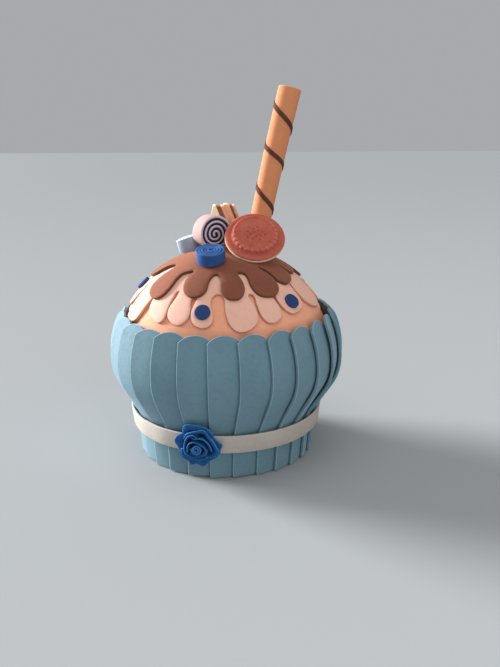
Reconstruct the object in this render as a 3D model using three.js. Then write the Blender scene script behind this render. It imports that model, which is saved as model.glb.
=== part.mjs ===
// A display muffin made of craft foam sheet: a domed body in a case of overlapping foam slats,
// a ribbon with a rose round its foot, two layers of drips on the dome, and toppings on the crown.
// Millimetres, +Z up. The origin is the centre of the base, and the front of the muffin faces -Y.
// Azimuths are degrees from the front, positive towards +X. Polar angles are degrees from +Z,
// seen from the centre of the dome.
import * as THREE from "three";

// ---- driving dimensions ----
const GAP = 0.35; // clearance between pieces that lie on each other
const FOAM = 2; // thickness of the foam sheet

const DOME = { radius: 78, centre: 61.4 }; // the ball that the muffin is built on, covered
const BODY_SIDES = 30;
const SEAT_FOOT = [57.3, 0]; // outline of the body under the slats: foot, waist and shoulder
const SEAT_WAIST = [60.1, 32.4];
const SEAT_SHOULDER = [73, 57.3];
const SEAT_REACH = { shoulder: 13, rim: 18 }; // how far the bend's handles reach from its ends
const RIM_POLAR = 60.4; // where the slats' rounded tops end on the dome

const SLAT_WIDTH = 22;
const SLAT_TIP_RADIUS = 12.1; // of the rounded top
const SLAT_LIFT = FOAM + GAP; // a left edge lies on the slat beside it
const SLAT_FLOOR_CLEARANCE = 0.8;
// the slats that face the front, by the azimuth of their middle; the rest are evenly spaced
const FRONT_SLATS = [-53.1, -40.5, -27.6, -14, 0, 14, 28.8, 41.4, 54.7, 67.1, 79.4];
const BACK_SLATS = 16;

const BAND = { low: 20.8, high: 33, foot: 65, top: 66.4, thickness: 1.6 };
const ROSE = { azimuth: -15.5, height: 27.2, stand: 68, radius: 15.2, petals: 7, sides: 18 };

const CREAM = { inner: 79, outer: 80, hiddenFrom: 22, neck: 37.5, notchCorners: 1 };
// drips that show at the front: azimuth of the middle, half width, polar angles of tip and notch
// (the notch is the one on the drip's right)
const CREAM_FRONT = [
  [-84, 8, 58, 42],
  [-66.5, 9.5, 59, 44],
  [-43.5, 7.2, 57, 40],
  [-28.5, 7, 57.5, 41.5],
  [-13, 6.5, 57.5, 40],
  [10, 9.2, 59.2, 40.5],
  [27, 7.2, 57, 43],
  [46.5, 9, 55, 39],
  [68, 8, 55.5, 41],
];
const CREAM_BACK = { count: 10, halfWidth: 7.8, tip: 57, notch: 40.5, sway: 1.3 };

const CHOCOLATE = { inner: 81, outer: 82, hiddenFrom: 6, neck: 25, notchCorners: 2 };
const CHOCOLATE_FRONT = [
  [-82, 11, 38, 27.5],
  [-54, 12, 46.5, 28.5],
  [-22.5, 10.5, 43.5, 29],
  [5.5, 8.8, 44.5, 28],
  [31, 11, 44.5, 27],
  [56, 10.5, 40, 32],
  [81, 9.5, 40.5, 30],
];
const CHOCOLATE_BACK = { count: 7, halfWidth: 10.5, tip: 43.5, notch: 29, sway: 1.6 };

const DOT = { radius: 4.9, thickness: 1.6, sides: 10, seat: 80.4 };
const DOTS = [ // azimuth and polar angle, each on a cream drip
  [-89, 44],
  [-13.1, 50],
  [45.4, 48.1],
  [115.5, 50.5],
  [163, 49],
  [219, 50],
];

const CROWN = 82.4; // distance from the dome's centre to the foot of a topping
const ROLL_SIDES = 20;
const BLUE_ROLL = { foot: [19.4, -17.5], lean: [16, -13], lift: 0, radius: 9.7, height: 8 };
const SKY_ROLL = { foot: [18.4, -118], lean: [16, -96], lift: 0.5, radius: 8.6, height: 9.5 };
const WAFER_ROLL = { foot: [16.4, 116.1], lean: [14, 113.3], lift: 0.4, height: 110 };
const WAFER_ROLL_RADIUS = { foot: 7.5, top: 8 };
const STRIPE = { width: 2.4, thickness: 0.8, pitch: 28.2, below: 13.6, stepsPerTurn: 14 };
const SWIRL = {
  centre: [-6, 0, 154], // of the spiral, on the roll's front
  turn: 33.5,
  length: 11,
  growth: 3.2,
  start: 0.85,
  turns: 3.6,
  sag: 0.93, // its lower half is pressed flatter by its weight
  stepsPerTurn: 10,
};
const BISCUIT = {
  centre: [20.7, -12.2, 152.8],
  lean: [42, 4],
  radius: 20.3,
  base: 1.7,
  rim: 1.3,
  plateau: 15.4,
  rise: 2.2,
  sides: 24,
};
const WAFER = { front: 20.5, depth: 12, top: 169.4, lean: 22, sideLean: -16, sideWidth: 1.9 };
// layers of the wafer from left to right: name, width along X, height above WAFER.top, colour
const WAFER_LAYERS = [
  ["wafer_brown_left", 3.7, -0.5, 0x7a4a2e],
  ["wafer_pink", 2.6, -0.1, 0xd9ab93],
  ["wafer_tan_middle", 3.3, 0.8, 0xd6a377],
  ["wafer_brown_right", 1.6, -0.2, 0x7a4a2e],
  ["wafer_tan_right", 2.3, 0.1, 0xd6a377],
];
const WAFER_LEFT = -5.6; // X of the first layer's left side at WAFER.top

const COLOURS = {
  peach: 0xe0a07c,
  slat: 0x86a4b2,
  ribbon: 0xc9c3ba,
  royal: 0x1f4f9c,
  navy: 0x1d2d66,
  cream: 0xdfb9a6,
  chocolate: 0x7c4a3c,
  white: 0xe6dcda,
  sky: 0xb9cfe2,
  terracotta: 0xb05a48,
  beige: 0xd9b9a8,
  tan: 0xc98b5f,
  darkBrown: 0x4a2d28,
  wafer: 0xf0dcae,
};

// ---- helpers ----
const rad = THREE.MathUtils.degToRad;

function foam(colour) {
  return new THREE.MeshStandardMaterial({ color: colour, roughness: 0.9, metalness: 0 });
}

function piece(name, geometry, colour) {
  const mesh = new THREE.Mesh(geometry, foam(colour));
  mesh.name = name;
  return mesh;
}

// The point at a distance from the Z axis, an azimuth in radians and a height.
function around(radius, azimuth, z) {
  return new THREE.Vector3(radius * Math.sin(azimuth), -radius * Math.cos(azimuth), z);
}

function direction(polar, azimuth) {
  return around(Math.sin(rad(polar)), rad(azimuth), Math.cos(rad(polar)));
}

// The point above the dome at a distance from its centre.
function overDome(distance, polar, azimuth) {
  const point = direction(polar, azimuth).multiplyScalar(distance);
  point.z += DOME.centre;
  return point;
}

function signedVolume(points, faces) {
  let sixfold = 0;
  const cross = new THREE.Vector3();
  for (let i = 0; i < faces.length; i += 3) {
    cross.crossVectors(points[faces[i + 1]], points[faces[i + 2]]);
    sixfold += points[faces[i]].dot(cross);
  }
  return sixfold / 6;
}

// A closed surface from points and triangles, turned so that its faces look outwards.
function solid(points, faces) {
  const outward = signedVolume(points, faces) > 0 ? faces : [...faces].reverse();
  const geometry = new THREE.BufferGeometry().setFromPoints(points);
  geometry.setIndex(outward);
  geometry.computeVertexNormals();
  return geometry;
}

// Joins rings of equal size. The two end rings are capped, or the last ring joins the first.
function skin(rings, endless = false) {
  const size = rings[0].length;
  const faces = [];
  const spans = endless ? rings.length : rings.length - 1;
  for (let i = 0; i < spans; i++) {
    const a = i * size;
    const b = ((i + 1) % rings.length) * size;
    for (let j = 0; j < size; j++) {
      const k = (j + 1) % size;
      faces.push(a + j, b + j, b + k, a + j, b + k, a + k);
    }
  }
  if (!endless) {
    const last = (rings.length - 1) * size;
    for (let j = 1; j < size - 1; j++) {
      faces.push(0, j, j + 1, last, last + j + 1, last + j);
    }
  }
  return solid(rings.flat(), faces);
}

// A bent sheet: two grids of points, its face and its back, joined round their edge.
function sheet(face, back) {
  const rows = face.length;
  const columns = face[0].length;
  const under = rows * columns;
  const at = (i, j) => i * columns + j;
  const faces = [];
  for (let i = 0; i < rows - 1; i++) {
    for (let j = 0; j < columns - 1; j++) {
      const [a, b, c, d] = [at(i, j), at(i, j + 1), at(i + 1, j + 1), at(i + 1, j)];
      faces.push(a, b, c, a, c, d);
      faces.push(c + under, b + under, a + under, d + under, c + under, a + under);
    }
  }
  const edge = [];
  for (let j = 0; j < columns - 1; j++) edge.push(at(0, j));
  for (let i = 0; i < rows - 1; i++) edge.push(at(i, columns - 1));
  for (let j = columns - 1; j > 0; j--) edge.push(at(rows - 1, j));
  for (let i = rows - 1; i > 0; i--) edge.push(at(i, 0));
  edge.forEach((p, n) => {
    const q = edge[(n + 1) % edge.length];
    faces.push(q, p, p + under, q, p + under, q + under);
  });
  return solid([...face.flat(), ...back.flat()], faces);
}

// A group whose own Z axis points along the given polar angle and azimuth.
function leaning(position, [polar, azimuth]) {
  const group = new THREE.Group();
  group.position.copy(position);
  group.rotation.set(rad(polar), 0, rad(azimuth), "ZXY");
  return group;
}

// ---- the body and the outline that the slats follow ----
const seatLower = new THREE.LineCurve(
  new THREE.Vector2(...SEAT_FOOT),
  new THREE.Vector2(...SEAT_WAIST),
);
const seatFlare = new THREE.LineCurve(
  new THREE.Vector2(...SEAT_WAIST),
  new THREE.Vector2(...SEAT_SHOULDER),
);

function seatBend() {
  const start = new THREE.Vector2(...SEAT_SHOULDER);
  const out = seatFlare.getTangent(0).multiplyScalar(SEAT_REACH.shoulder);
  const rim = rad(RIM_POLAR);
  const end = new THREE.Vector2(
    DOME.radius * Math.sin(rim),
    DOME.centre + DOME.radius * Math.cos(rim),
  );
  const back = new THREE.Vector2(Math.cos(rim), -Math.sin(rim)).multiplyScalar(SEAT_REACH.rim);
  return new THREE.CubicBezierCurve(
    start,
    start.clone().add(out),
    end.clone().add(back),
    end,
  );
}

const seatUpper = seatBend();

// A point of the seat outline with its outward direction, both as (radius, z).
function seatAt(curve, t) {
  const tangent = curve.getTangent(t);
  return { point: curve.getPoint(t), normal: new THREE.Vector2(tangent.y, -tangent.x) };
}

function seatWaist() {
  const mitre = seatAt(seatFlare, 0);
  mitre.normal.add(seatAt(seatLower, 1).normal).normalize();
  return mitre;
}

const BEND_STATIONS = [0, 0.28, 0.56, 0.84];
const bodyOutline = [
  seatAt(seatLower, 0),
  seatWaist(),
  ...BEND_STATIONS.map((t) => seatAt(seatUpper, t)),
  seatAt(seatUpper, 1),
];

function bodyGeometry() {
  const outline = [new THREE.Vector2(0, 0)];
  for (const station of bodyOutline) outline.push(station.point);
  for (let polar = 50; polar > 0; polar -= 10) {
    const angle = rad(polar);
    const radius = DOME.radius * Math.sin(angle);
    outline.push(new THREE.Vector2(radius, DOME.centre + DOME.radius * Math.cos(angle)));
  }
  outline.push(new THREE.Vector2(0, DOME.centre + DOME.radius));
  const geometry = new THREE.LatheGeometry(outline, BODY_SIDES);
  return geometry.rotateX(Math.PI / 2);
}

// ---- slats ----
const halfSlat = SLAT_WIDTH / 2;

function slatAzimuths() {
  const last = FRONT_SLATS[FRONT_SLATS.length - 1];
  const step = (360 + FRONT_SLATS[0] - last) / (BACK_SLATS + 1);
  const back = Array.from({ length: BACK_SLATS }, (_, i) => last + step * (i + 1));
  return [...FRONT_SLATS, ...back];
}

// How far along the bend the rounded top reaches, at a distance across the slat.
function tipStation(across) {
  const sag = SLAT_TIP_RADIUS - Math.sqrt(SLAT_TIP_RADIUS ** 2 - across ** 2);
  return 1 - sag / (3 * SEAT_REACH.rim);
}

// Columns across a slat: its left part lies on the slat beside it, a ramp leads down from there,
// and its right part lies on the body.
function slatColumns(radius, pitchLeft, pitchRight, rampMost) {
  const raised = Math.max(halfSlat - pitchLeft * radius + 0.4, 1.2 - halfSlat);
  const room = (pitchLeft + pitchRight) * radius - SLAT_WIDTH - 0.9;
  const settled = raised + Math.min(room, rampMost);
  return [
    [-halfSlat, 1],
    [raised, 1],
    [settled, 0],
    [(settled + halfSlat) / 2, 0],
    [halfSlat, 0],
  ];
}

function slatGeometry(pitchLeft, pitchRight) {
  const foot = seatAt(seatLower, SLAT_FLOOR_CLEARANCE / SEAT_WAIST[1]);
  const stations = [foot, seatWaist(), ...BEND_STATIONS.map((t) => seatAt(seatUpper, t))];
  const ramps = [12, 12, 12, 9, 7, 5];
  const grids = [[], []];
  const addRow = (stationOf, radius, columns) => {
    grids.forEach((grid, back) => {
      grid.push(
        columns.map(([across, raised]) => {
          const { point, normal } = stationOf(across);
          const height = GAP + raised * SLAT_LIFT + (back ? 0 : FOAM);
          const place = point.clone().addScaledVector(normal, height);
          return around(place.x, across / radius, place.y);
        }),
      );
    });
  };
  let columns;
  let radius;
  stations.forEach((station, i) => {
    radius = station.point.x + FOAM;
    columns = slatColumns(radius, pitchLeft, pitchRight, ramps[i]);
    addRow(() => station, radius, columns);
  });
  addRow((across) => seatAt(seatUpper, tipStation(across)), radius, columns);
  return sheet(...grids);
}

function slats() {
  const group = new THREE.Group();
  const azimuths = slatAzimuths();
  azimuths.forEach((azimuth, i) => {
    const before = i ? azimuths[i - 1] : azimuths[azimuths.length - 1] - 360;
    const after = i < azimuths.length - 1 ? azimuths[i + 1] : azimuths[0] + 360;
    const geometry = slatGeometry(rad(azimuth - before), rad(after - azimuth));
    const name = "slat_" + String(i + 1).padStart(2, "0");
    const slat = piece(name, geometry, COLOURS.slat);
    slat.rotation.z = rad(azimuth);
    group.add(slat);
  });
  return group;
}

// ---- ribbon and rose ----
function bandGeometry() {
  const rings = [];
  for (let i = 0; i < BODY_SIDES; i++) {
    const azimuth = (2 * Math.PI * i) / BODY_SIDES;
    rings.push([
      around(BAND.foot, azimuth, BAND.low),
      around(BAND.foot + BAND.thickness, azimuth, BAND.low),
      around(BAND.top + BAND.thickness, azimuth, BAND.high),
      around(BAND.top, azimuth, BAND.high),
    ]);
  }
  return skin(rings, true);
}

// A rose seen from the front: whorls of petals that step up towards the bud.
function roseGeometry() {
  const whorls = [ // share of the radius, height above the band, depth of the scallops
    [0.5, 0, 0],
    [0.98, 4, 0.08],
    [0.92, 6, 0.08],
    [0.66, 5, 0.05],
    [0.6, 8.2, 0.07],
    [0.36, 7.2, 0.04],
    [0.3, 10, 0.05],
  ];
  const rings = whorls.map(([share, height, scallop], level) =>
    Array.from({ length: ROSE.sides }, (_, i) => {
      const angle = (2 * Math.PI * i) / ROSE.sides;
      const ruffle = 1 + scallop * Math.cos(ROSE.petals * angle + level);
      const radius = ROSE.radius * share * ruffle;
      return new THREE.Vector3(radius * Math.cos(angle), radius * Math.sin(angle), height);
    }),
  );
  return skin(rings);
}

function rose() {
  const place = around(ROSE.stand, rad(ROSE.azimuth), ROSE.height);
  const group = leaning(place, [90, ROSE.azimuth]);
  group.add(piece("rose", roseGeometry(), COLOURS.royal));
  return group;
}

// ---- drips ----
// All drips of a layer in order of azimuth: those of the front, then the rest round the back.
function dripsAround(front, back) {
  const last = front[front.length - 1][0];
  const step = (360 + front[0][0] - last) / (back.count + 1);
  const rest = Array.from({ length: back.count }, (_, i) => {
    const sway = back.sway * Math.cos(2.4 * i);
    return [last + step * (i + 1), back.halfWidth, back.tip + sway, back.notch + sway / 2];
  });
  return [...front, ...rest];
}

// The layer's edge as (azimuth, polar angle, azimuth of the same point at the neck).
function dripEdge(layer, drips) {
  const edge = [];
  drips.forEach(([middle, halfWidth, tip], i) => {
    const before = drips[(i + drips.length - 1) % drips.length];
    const after = drips[(i + 1) % drips.length];
    const unwrap = (angle) => middle + ((((angle - middle + 180) % 360) + 360) % 360) - 180;
    const left = (unwrap(before[0]) + before[1] + middle - halfWidth) / 2;
    const right = (unwrap(after[0]) - after[1] + middle + halfWidth) / 2;
    const round = halfWidth * Math.sin(rad(tip));
    const outline = [
      [middle - halfWidth, tip - round],
      [middle - halfWidth / 2, tip - 0.14 * round],
      [middle + halfWidth / 2, tip - 0.14 * round],
      [middle + halfWidth, tip - round],
    ];
    if (layer.notchCorners === 1) {
      outline.unshift([left, before[3]]);
    } else {
      outline.unshift([(left + middle - halfWidth) / 2, before[3]]);
      outline.push([(right + middle + halfWidth) / 2, drips[i][3]]);
    }
    outline.forEach(([azimuth, polar], k) => {
      edge.push([azimuth, polar, left + ((right - left) * k) / outline.length]);
    });
  });
  return edge;
}

// Rings of the layer's outer or inner face, from its hidden middle to its edge.
function dripRings(layer, edge, distance, stations) {
  const ring = (polarOf, share) =>
    edge.map(([azimuth, polar, root]) =>
      overDome(distance, polarOf(polar), root + (azimuth - root) * share),
    );
  return [
    ring(() => layer.hiddenFrom, 0),
    ring(() => layer.neck - (layer.neck - layer.hiddenFrom) * stations.inner, 0),
    ...stations.outer.map((share) =>
      ring((polar) => layer.neck + (polar - layer.neck) * share, share),
    ),
  ];
}

function dripGeometry(layer, front, back, stations, open) {
  const edge = dripEdge(layer, dripsAround(front, back));
  const face = dripRings(layer, edge, layer.outer, stations);
  const underside = dripRings(layer, edge, layer.inner, stations).reverse();
  return skin([...face, ...underside], open);
}

function drips() {
  const group = new THREE.Group();
  const cream = dripGeometry(
    CREAM,
    CREAM_FRONT,
    CREAM_BACK,
    { inner: 0, outer: [0.5, 1] },
    true,
  );
  const chocolate = dripGeometry(
    CHOCOLATE,
    CHOCOLATE_FRONT,
    CHOCOLATE_BACK,
    { inner: 0.5, outer: [0.1, 0.55, 1] },
    false,
  );
  group.add(piece("cream_drips", cream, COLOURS.cream));
  group.add(piece("chocolate_drips", chocolate, COLOURS.chocolate));
  return group;
}

// A flat foam dot, tangent to the dome.
function dots() {
  const group = new THREE.Group();
  const disc = new THREE.CylinderGeometry(DOT.radius, DOT.radius, DOT.thickness, DOT.sides);
  disc.rotateX(Math.PI / 2);
  disc.translate(0, 0, DOT.thickness / 2);
  DOTS.forEach(([azimuth, polar], i) => {
    const holder = leaning(overDome(DOT.seat, polar, azimuth), [polar, azimuth]);
    holder.add(piece("dot_" + (i + 1), disc, COLOURS.navy));
    group.add(holder);
  });
  return group;
}

// ---- toppings ----
function upright(radiusTop, radiusBottom, height) {
  const roll = new THREE.CylinderGeometry(radiusTop, radiusBottom, height, ROLL_SIDES);
  roll.rotateX(Math.PI / 2);
  return roll.translate(0, 0, height / 2);
}

function shortRoll(name, roll, colour) {
  const group = leaning(overDome(CROWN + roll.lift, ...roll.foot), roll.lean);
  group.add(piece(name, upright(roll.radius, roll.radius, roll.height), colour));
  return group;
}

// The foam strip that is wound round the wafer roll, from just above its foot to near its top.
function stripeGeometry() {
  const { width, thickness, pitch, stepsPerTurn } = STRIPE;
  const start = WAFER_ROLL.height - STRIPE.below + pitch / 2;
  const firstAngle = Math.PI / 2 - rad(WAFER_ROLL.lean[1]);
  const slope = (WAFER_ROLL_RADIUS.top - WAFER_ROLL_RADIUS.foot) / WAFER_ROLL.height;
  const steps = Math.floor((start / pitch) * stepsPerTurn);
  const rings = [];
  for (let i = 0; i <= steps; i++) {
    const angle = firstAngle + (2 * Math.PI * i) / stepsPerTurn;
    const z = start - (pitch * i) / stepsPerTurn;
    const corner = (out, up) => {
      const height = Math.min(Math.max(z + up, 1), WAFER_ROLL.height - 0.5);
      return around(WAFER_ROLL_RADIUS.foot + slope * height + GAP + out, angle, height);
    };
    rings.push([
      corner(0, -width / 2),
      corner(thickness, -width / 2),
      corner(thickness, width / 2),
      corner(0, width / 2),
    ]);
  }
  return skin(rings);
}

function waferRoll() {
  const { foot, lean, lift, height } = WAFER_ROLL;
  const group = leaning(overDome(CROWN + lift, ...foot), lean);
  const roll = upright(WAFER_ROLL_RADIUS.top, WAFER_ROLL_RADIUS.foot, height);
  group.add(piece("wafer_roll", roll, COLOURS.tan));
  group.add(piece("wafer_roll_stripe", stripeGeometry(), COLOURS.darkBrown));
  return group;
}

// One of the two foam strips that are rolled up together, wound outwards in the group's XY plane.
function swirlStrip(inset) {
  const thickness = SWIRL.growth / 2 - GAP;
  const first = Math.ceil((inset / SWIRL.growth) * SWIRL.stepsPerTurn);
  const rings = [];
  for (let i = first; i <= SWIRL.turns * SWIRL.stepsPerTurn; i++) {
    const turn = i / SWIRL.stepsPerTurn;
    const angle = -2 * Math.PI * turn - Math.PI / 2;
    const middle = SWIRL.start + SWIRL.growth * turn - inset;
    const press = Math.sin(angle) < 0 ? SWIRL.sag : 1;
    const corner = (radius, z) =>
      new THREE.Vector3(radius * Math.cos(angle), radius * Math.sin(angle) * press, z);
    rings.push([
      corner(middle - thickness / 2, 0),
      corner(middle + thickness / 2, 0),
      corner(middle + thickness / 2, -SWIRL.length),
      corner(middle - thickness / 2, -SWIRL.length),
    ]);
  }
  return skin(rings);
}

function swirl() {
  const group = leaning(new THREE.Vector3(...SWIRL.centre), [90, SWIRL.turn]);
  group.add(piece("swirl_white", swirlStrip(0), COLOURS.white));
  group.add(piece("swirl_navy", swirlStrip(SWIRL.growth / 2), COLOURS.navy));
  return group;
}

function biscuitTopGeometry() {
  const { radius, rim, plateau, rise, sides } = BISCUIT;
  const outline = [
    [0, 0],
    [radius - 0.5, 0],
    [radius - 0.9, rim],
    [plateau + 0.6, rim - 0.2],
    [plateau - 0.4, rim + rise],
    [0, rim + rise],
  ];
  const points = outline.map(([x, y]) => new THREE.Vector2(x, y));
  return new THREE.LatheGeometry(points, sides).rotateX(Math.PI / 2);
}

function biscuit() {
  const { radius, base, sides } = BISCUIT;
  const group = leaning(new THREE.Vector3(...BISCUIT.centre), BISCUIT.lean);
  const thick = base - GAP;
  const disc = new THREE.CylinderGeometry(radius, radius, thick, sides).rotateX(Math.PI / 2);
  disc.translate(0, 0, -BISCUIT.rim - GAP - thick / 2);
  group.add(piece("biscuit_base", disc, COLOURS.beige));
  const top = biscuitTopGeometry().translate(0, 0, -BISCUIT.rim);
  group.add(piece("biscuit_top", top, COLOURS.terracotta));
  return group;
}

// A foam layer of the wafer: a block with leaning sides whose foot follows the dome.
function waferBlock(leftTop, rightTop, leftLean, rightLean, top) {
  const corners = [];
  for (const depth of [0, WAFER.depth]) {
    const y = WAFER.front + depth;
    const low = (leftRight, lean) => {
      const slope = Math.tan(rad(lean));
      let z = DOME.centre + CROWN;
      for (let k = 0; k < 4; k++) {
        const x = leftRight + slope * (top - z);
        z = DOME.centre + Math.sqrt((CROWN + 0.4) ** 2 - x * x - y * y);
      }
      return new THREE.Vector3(leftRight + slope * (top - z), y, z);
    };
    corners.push([
      new THREE.Vector3(leftTop, y, top),
      new THREE.Vector3(rightTop, y, top),
      low(rightTop, rightLean),
      low(leftTop, leftLean),
    ]);
  }
  return skin(corners);
}

function wafer() {
  const group = new THREE.Group();
  const { top, lean, sideLean, sideWidth } = WAFER;
  const side = waferBlock(WAFER_LEFT - sideWidth, WAFER_LEFT - GAP / 2, sideLean, lean, top);
  group.add(piece("wafer_side", side, COLOURS.wafer));
  let left = WAFER_LEFT;
  for (const [name, width, rise, colour] of WAFER_LAYERS) {
    const shift = rise * Math.tan(rad(lean));
    const from = left + GAP / 2 - shift;
    const to = left + width - GAP / 2 - shift;
    group.add(piece(name, waferBlock(from, to, lean, lean, top + rise), colour));
    left += width;
  }
  return group;
}

// ---- the muffin ----
const muffin = new THREE.Group();
muffin.add(piece("dome", bodyGeometry(), COLOURS.peach));
muffin.add(slats());
muffin.add(piece("band", bandGeometry(), COLOURS.ribbon));
muffin.add(rose());
muffin.add(drips());
muffin.add(dots());
muffin.add(shortRoll("blue_roll", BLUE_ROLL, COLOURS.royal));
muffin.add(shortRoll("sky_roll", SKY_ROLL, COLOURS.sky));
muffin.add(waferRoll());
muffin.add(swirl());
muffin.add(biscuit());
muffin.add(wafer());

export default muffin;
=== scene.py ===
"""A display muffin of craft foam sheet: its looks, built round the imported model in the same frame.

Sizes are in millimetres until a mesh is made. Azimuths are degrees from the front (-Y), positive
towards +X, and polar angles are degrees from +Z, seen from the centre of the dome.
"""

import enum
import logging
import math
from collections.abc import Callable, Sequence
from dataclasses import dataclass, field
from typing import Protocol

import bmesh
import bpy
import numpy as np
from mathutils import Matrix
from mathutils.geometry import delaunay_2d_cdt


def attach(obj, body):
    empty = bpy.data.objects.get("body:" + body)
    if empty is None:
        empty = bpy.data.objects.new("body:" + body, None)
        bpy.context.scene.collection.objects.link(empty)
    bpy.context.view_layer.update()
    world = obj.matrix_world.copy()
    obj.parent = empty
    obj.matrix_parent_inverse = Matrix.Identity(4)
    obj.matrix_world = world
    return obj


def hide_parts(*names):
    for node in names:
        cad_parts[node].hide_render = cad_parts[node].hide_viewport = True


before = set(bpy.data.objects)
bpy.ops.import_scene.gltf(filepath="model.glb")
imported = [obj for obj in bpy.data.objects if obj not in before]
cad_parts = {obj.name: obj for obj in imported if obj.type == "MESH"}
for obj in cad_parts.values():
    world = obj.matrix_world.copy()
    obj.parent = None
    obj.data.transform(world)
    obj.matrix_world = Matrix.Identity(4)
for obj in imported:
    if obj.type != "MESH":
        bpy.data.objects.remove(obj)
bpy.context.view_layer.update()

Array = np.ndarray
Numbers = float | Array
Socket = bpy.types.NodeSocket
Tree = bpy.types.NodeTree
log = logging.getLogger("muffin")

BODY = "root"
MM = 0.001  # in metres
MERGE = 2e-6  # points nearer than this become one, in metres
SLIVER = 1e-7  # edges shorter than this are dissolved, in metres
DOME_CENTRE = 61.4  # height of the ball's centre
DOME_RADIUS = 78.0
CREAM_TOP = 80.0  # from the ball's centre to the face of the cream layer
CHOCOLATE_TOP = 82.0  # and to the face of the chocolate layer
UP = np.array([0.0, 0.0, 1.0])

# A sheet's wall has six rings from its face to its back. These are how far each stands out and how
# deep the first three lie, in rim radii; the other three mirror them. The five strips between the
# rings carry the marks for the edge colour: the cut edge, and on some pieces a painted highlight.
WALL_BULGE = np.array([0.0, 0.71, 1.0, 1.0, 0.71, 0.0])
WALL_DEPTH = np.array([0.0, 0.29, 1.0])
WALL_MARKS = (0.85, 1.0, 1.0, 1.0, 0.85)


# ---------------------------------------------------------------- plain vector helpers


def unit(vectors: Array) -> Array:
    """The same vectors with length one."""
    return vectors / np.maximum(np.linalg.norm(vectors, axis=-1, keepdims=True), 1e-12)


def around(radius: Numbers, azimuth: Numbers, height: Numbers) -> Array:
    """Points at a distance from the Z axis, an azimuth in radians and a height."""
    radius, azimuth, height = np.broadcast_arrays(radius, azimuth, height)
    return np.stack([radius * np.sin(azimuth), -radius * np.cos(azimuth), height], axis=-1)


def direction(polar: Numbers, azimuth: Numbers) -> Array:
    """Unit vectors for a polar angle and an azimuth in degrees."""
    return around(np.sin(np.radians(polar)), np.radians(azimuth), np.cos(np.radians(polar)))


def over_dome(distance: Numbers, polar: Numbers, azimuth: Numbers) -> Array:
    """Points at a distance from the dome's centre, in a direction given in degrees."""
    return direction(polar, azimuth) * np.expand_dims(distance, -1) + DOME_CENTRE * UP


def spokes(angle: Array) -> Array:
    """Level unit vectors at angles in radians, anticlockwise from +X."""
    return np.stack([np.cos(angle), np.sin(angle), 0 * angle], axis=-1)


def smoothstep(low: Numbers, high: Numbers, value: Numbers) -> Array:
    """0 below low, 1 above high, and an S-shaped rise between them."""
    share = np.clip((value - low) / (high - low), 0.0, 1.0)
    return share * share * (3.0 - 2.0 * share)


def bell(value: Numbers, width: float, power: int = 2) -> Array:
    """1 where the value is 0, and falling away over the width: exp(-(value / width)^power)."""
    return np.exp(-((value / width) ** power))


def read_line(line: Array, steps: Array, places: Array) -> Array:
    """A flat line's points, known at steps along it, read at other places along it."""
    return np.stack([np.interp(places, steps, line[:, k]) for k in (0, 1)], axis=-1)


def ripple(points: Array, size: float, seed: int) -> Array:
    """A smooth random field from -1 to 1: the mean of eight plane waves of about one wavelength.

    Args:
        points: places to read it at.
        size: the wavelength, in the points' unit.
        seed: picks the waves.

    Returns:
        One number for each point.
    """
    rng = np.random.default_rng(seed)
    waves = unit(rng.normal(size=(8, points.shape[-1]))) * rng.uniform(0.7, 1.4, (8, 1))
    phase = points @ waves.T * (2 * np.pi / size) + rng.uniform(0, 2 * np.pi, 8)
    return np.sin(phase).mean(axis=-1) * 2.0


def closed_spline(knots: Array, samples: int) -> Array:
    """A smooth closed curve through the knots.

    Each span is a pyramid of straight blends between its four nearest knots: between
    neighbours, then between those blends, and so on. The knots are spaced by the square root of
    the distance between them, so that the curve never loops.

    Args:
        knots: (N, 2) points in order.
        samples: points on each span.

    Returns:
        (N * samples, 2) points.
    """
    a, b, c, d = (np.roll(knots, shift, axis=0)[:, None, :] for shift in (1, 0, -1, -2))
    gaps = [np.sqrt(np.linalg.norm(q - p, axis=-1, keepdims=True))
            for p, q in ((a, b), (b, c), (c, d))]
    t0 = np.zeros_like(gaps[0])
    t1, t2, t3 = np.cumsum(gaps, axis=0)
    t = t1 + (t2 - t1) * np.arange(samples)[None, :, None] / samples
    ab = (a * (t1 - t) + b * (t - t0)) / (t1 - t0)
    bc = (b * (t2 - t) + c * (t - t1)) / (t2 - t1)
    cd = (c * (t3 - t) + d * (t - t2)) / (t3 - t2)
    abc = (ab * (t2 - t) + bc * (t - t0)) / (t2 - t0)
    bcd = (bc * (t3 - t) + cd * (t - t1)) / (t3 - t1)
    return ((abc * (t2 - t) + bcd * (t - t1)) / (t2 - t1)).reshape(-1, knots.shape[-1])


def open_spline(knots: Array, samples: int) -> Array:
    """The same kind of curve between two ends: each end knot is mirrored to lead in and out."""
    padded = np.concatenate([2 * knots[:1] - knots[1:2], knots, 2 * knots[-1:] - knots[-2:-1]])
    spans = closed_spline(padded, samples)[samples : len(knots) * samples]
    return np.concatenate([spans, knots[-1:]])


def rounded_rectangle(width: float, height: float, radius: float, steps: int = 2) -> Array:
    """A rectangle round the origin with quarter circles for corners, anticlockwise.

    Args:
        width: size along the first axis.
        height: size along the second axis.
        radius: of the corners.
        steps: spans in each corner.

    Returns:
        (4 * (steps + 1), 2) points, starting at the right side's foot.
    """
    quarter = np.linspace(-np.pi / 2, 0, steps + 1)
    angles = np.concatenate([quarter + turn * np.pi / 2 for turn in range(4)])
    half = np.array([width / 2 - radius, height / 2 - radius])
    corners = np.repeat(np.array([[1, -1], [1, 1], [-1, 1], [-1, -1]]) * half, steps + 1, axis=0)
    return corners + radius * spokes(angles)[:, :2]


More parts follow.
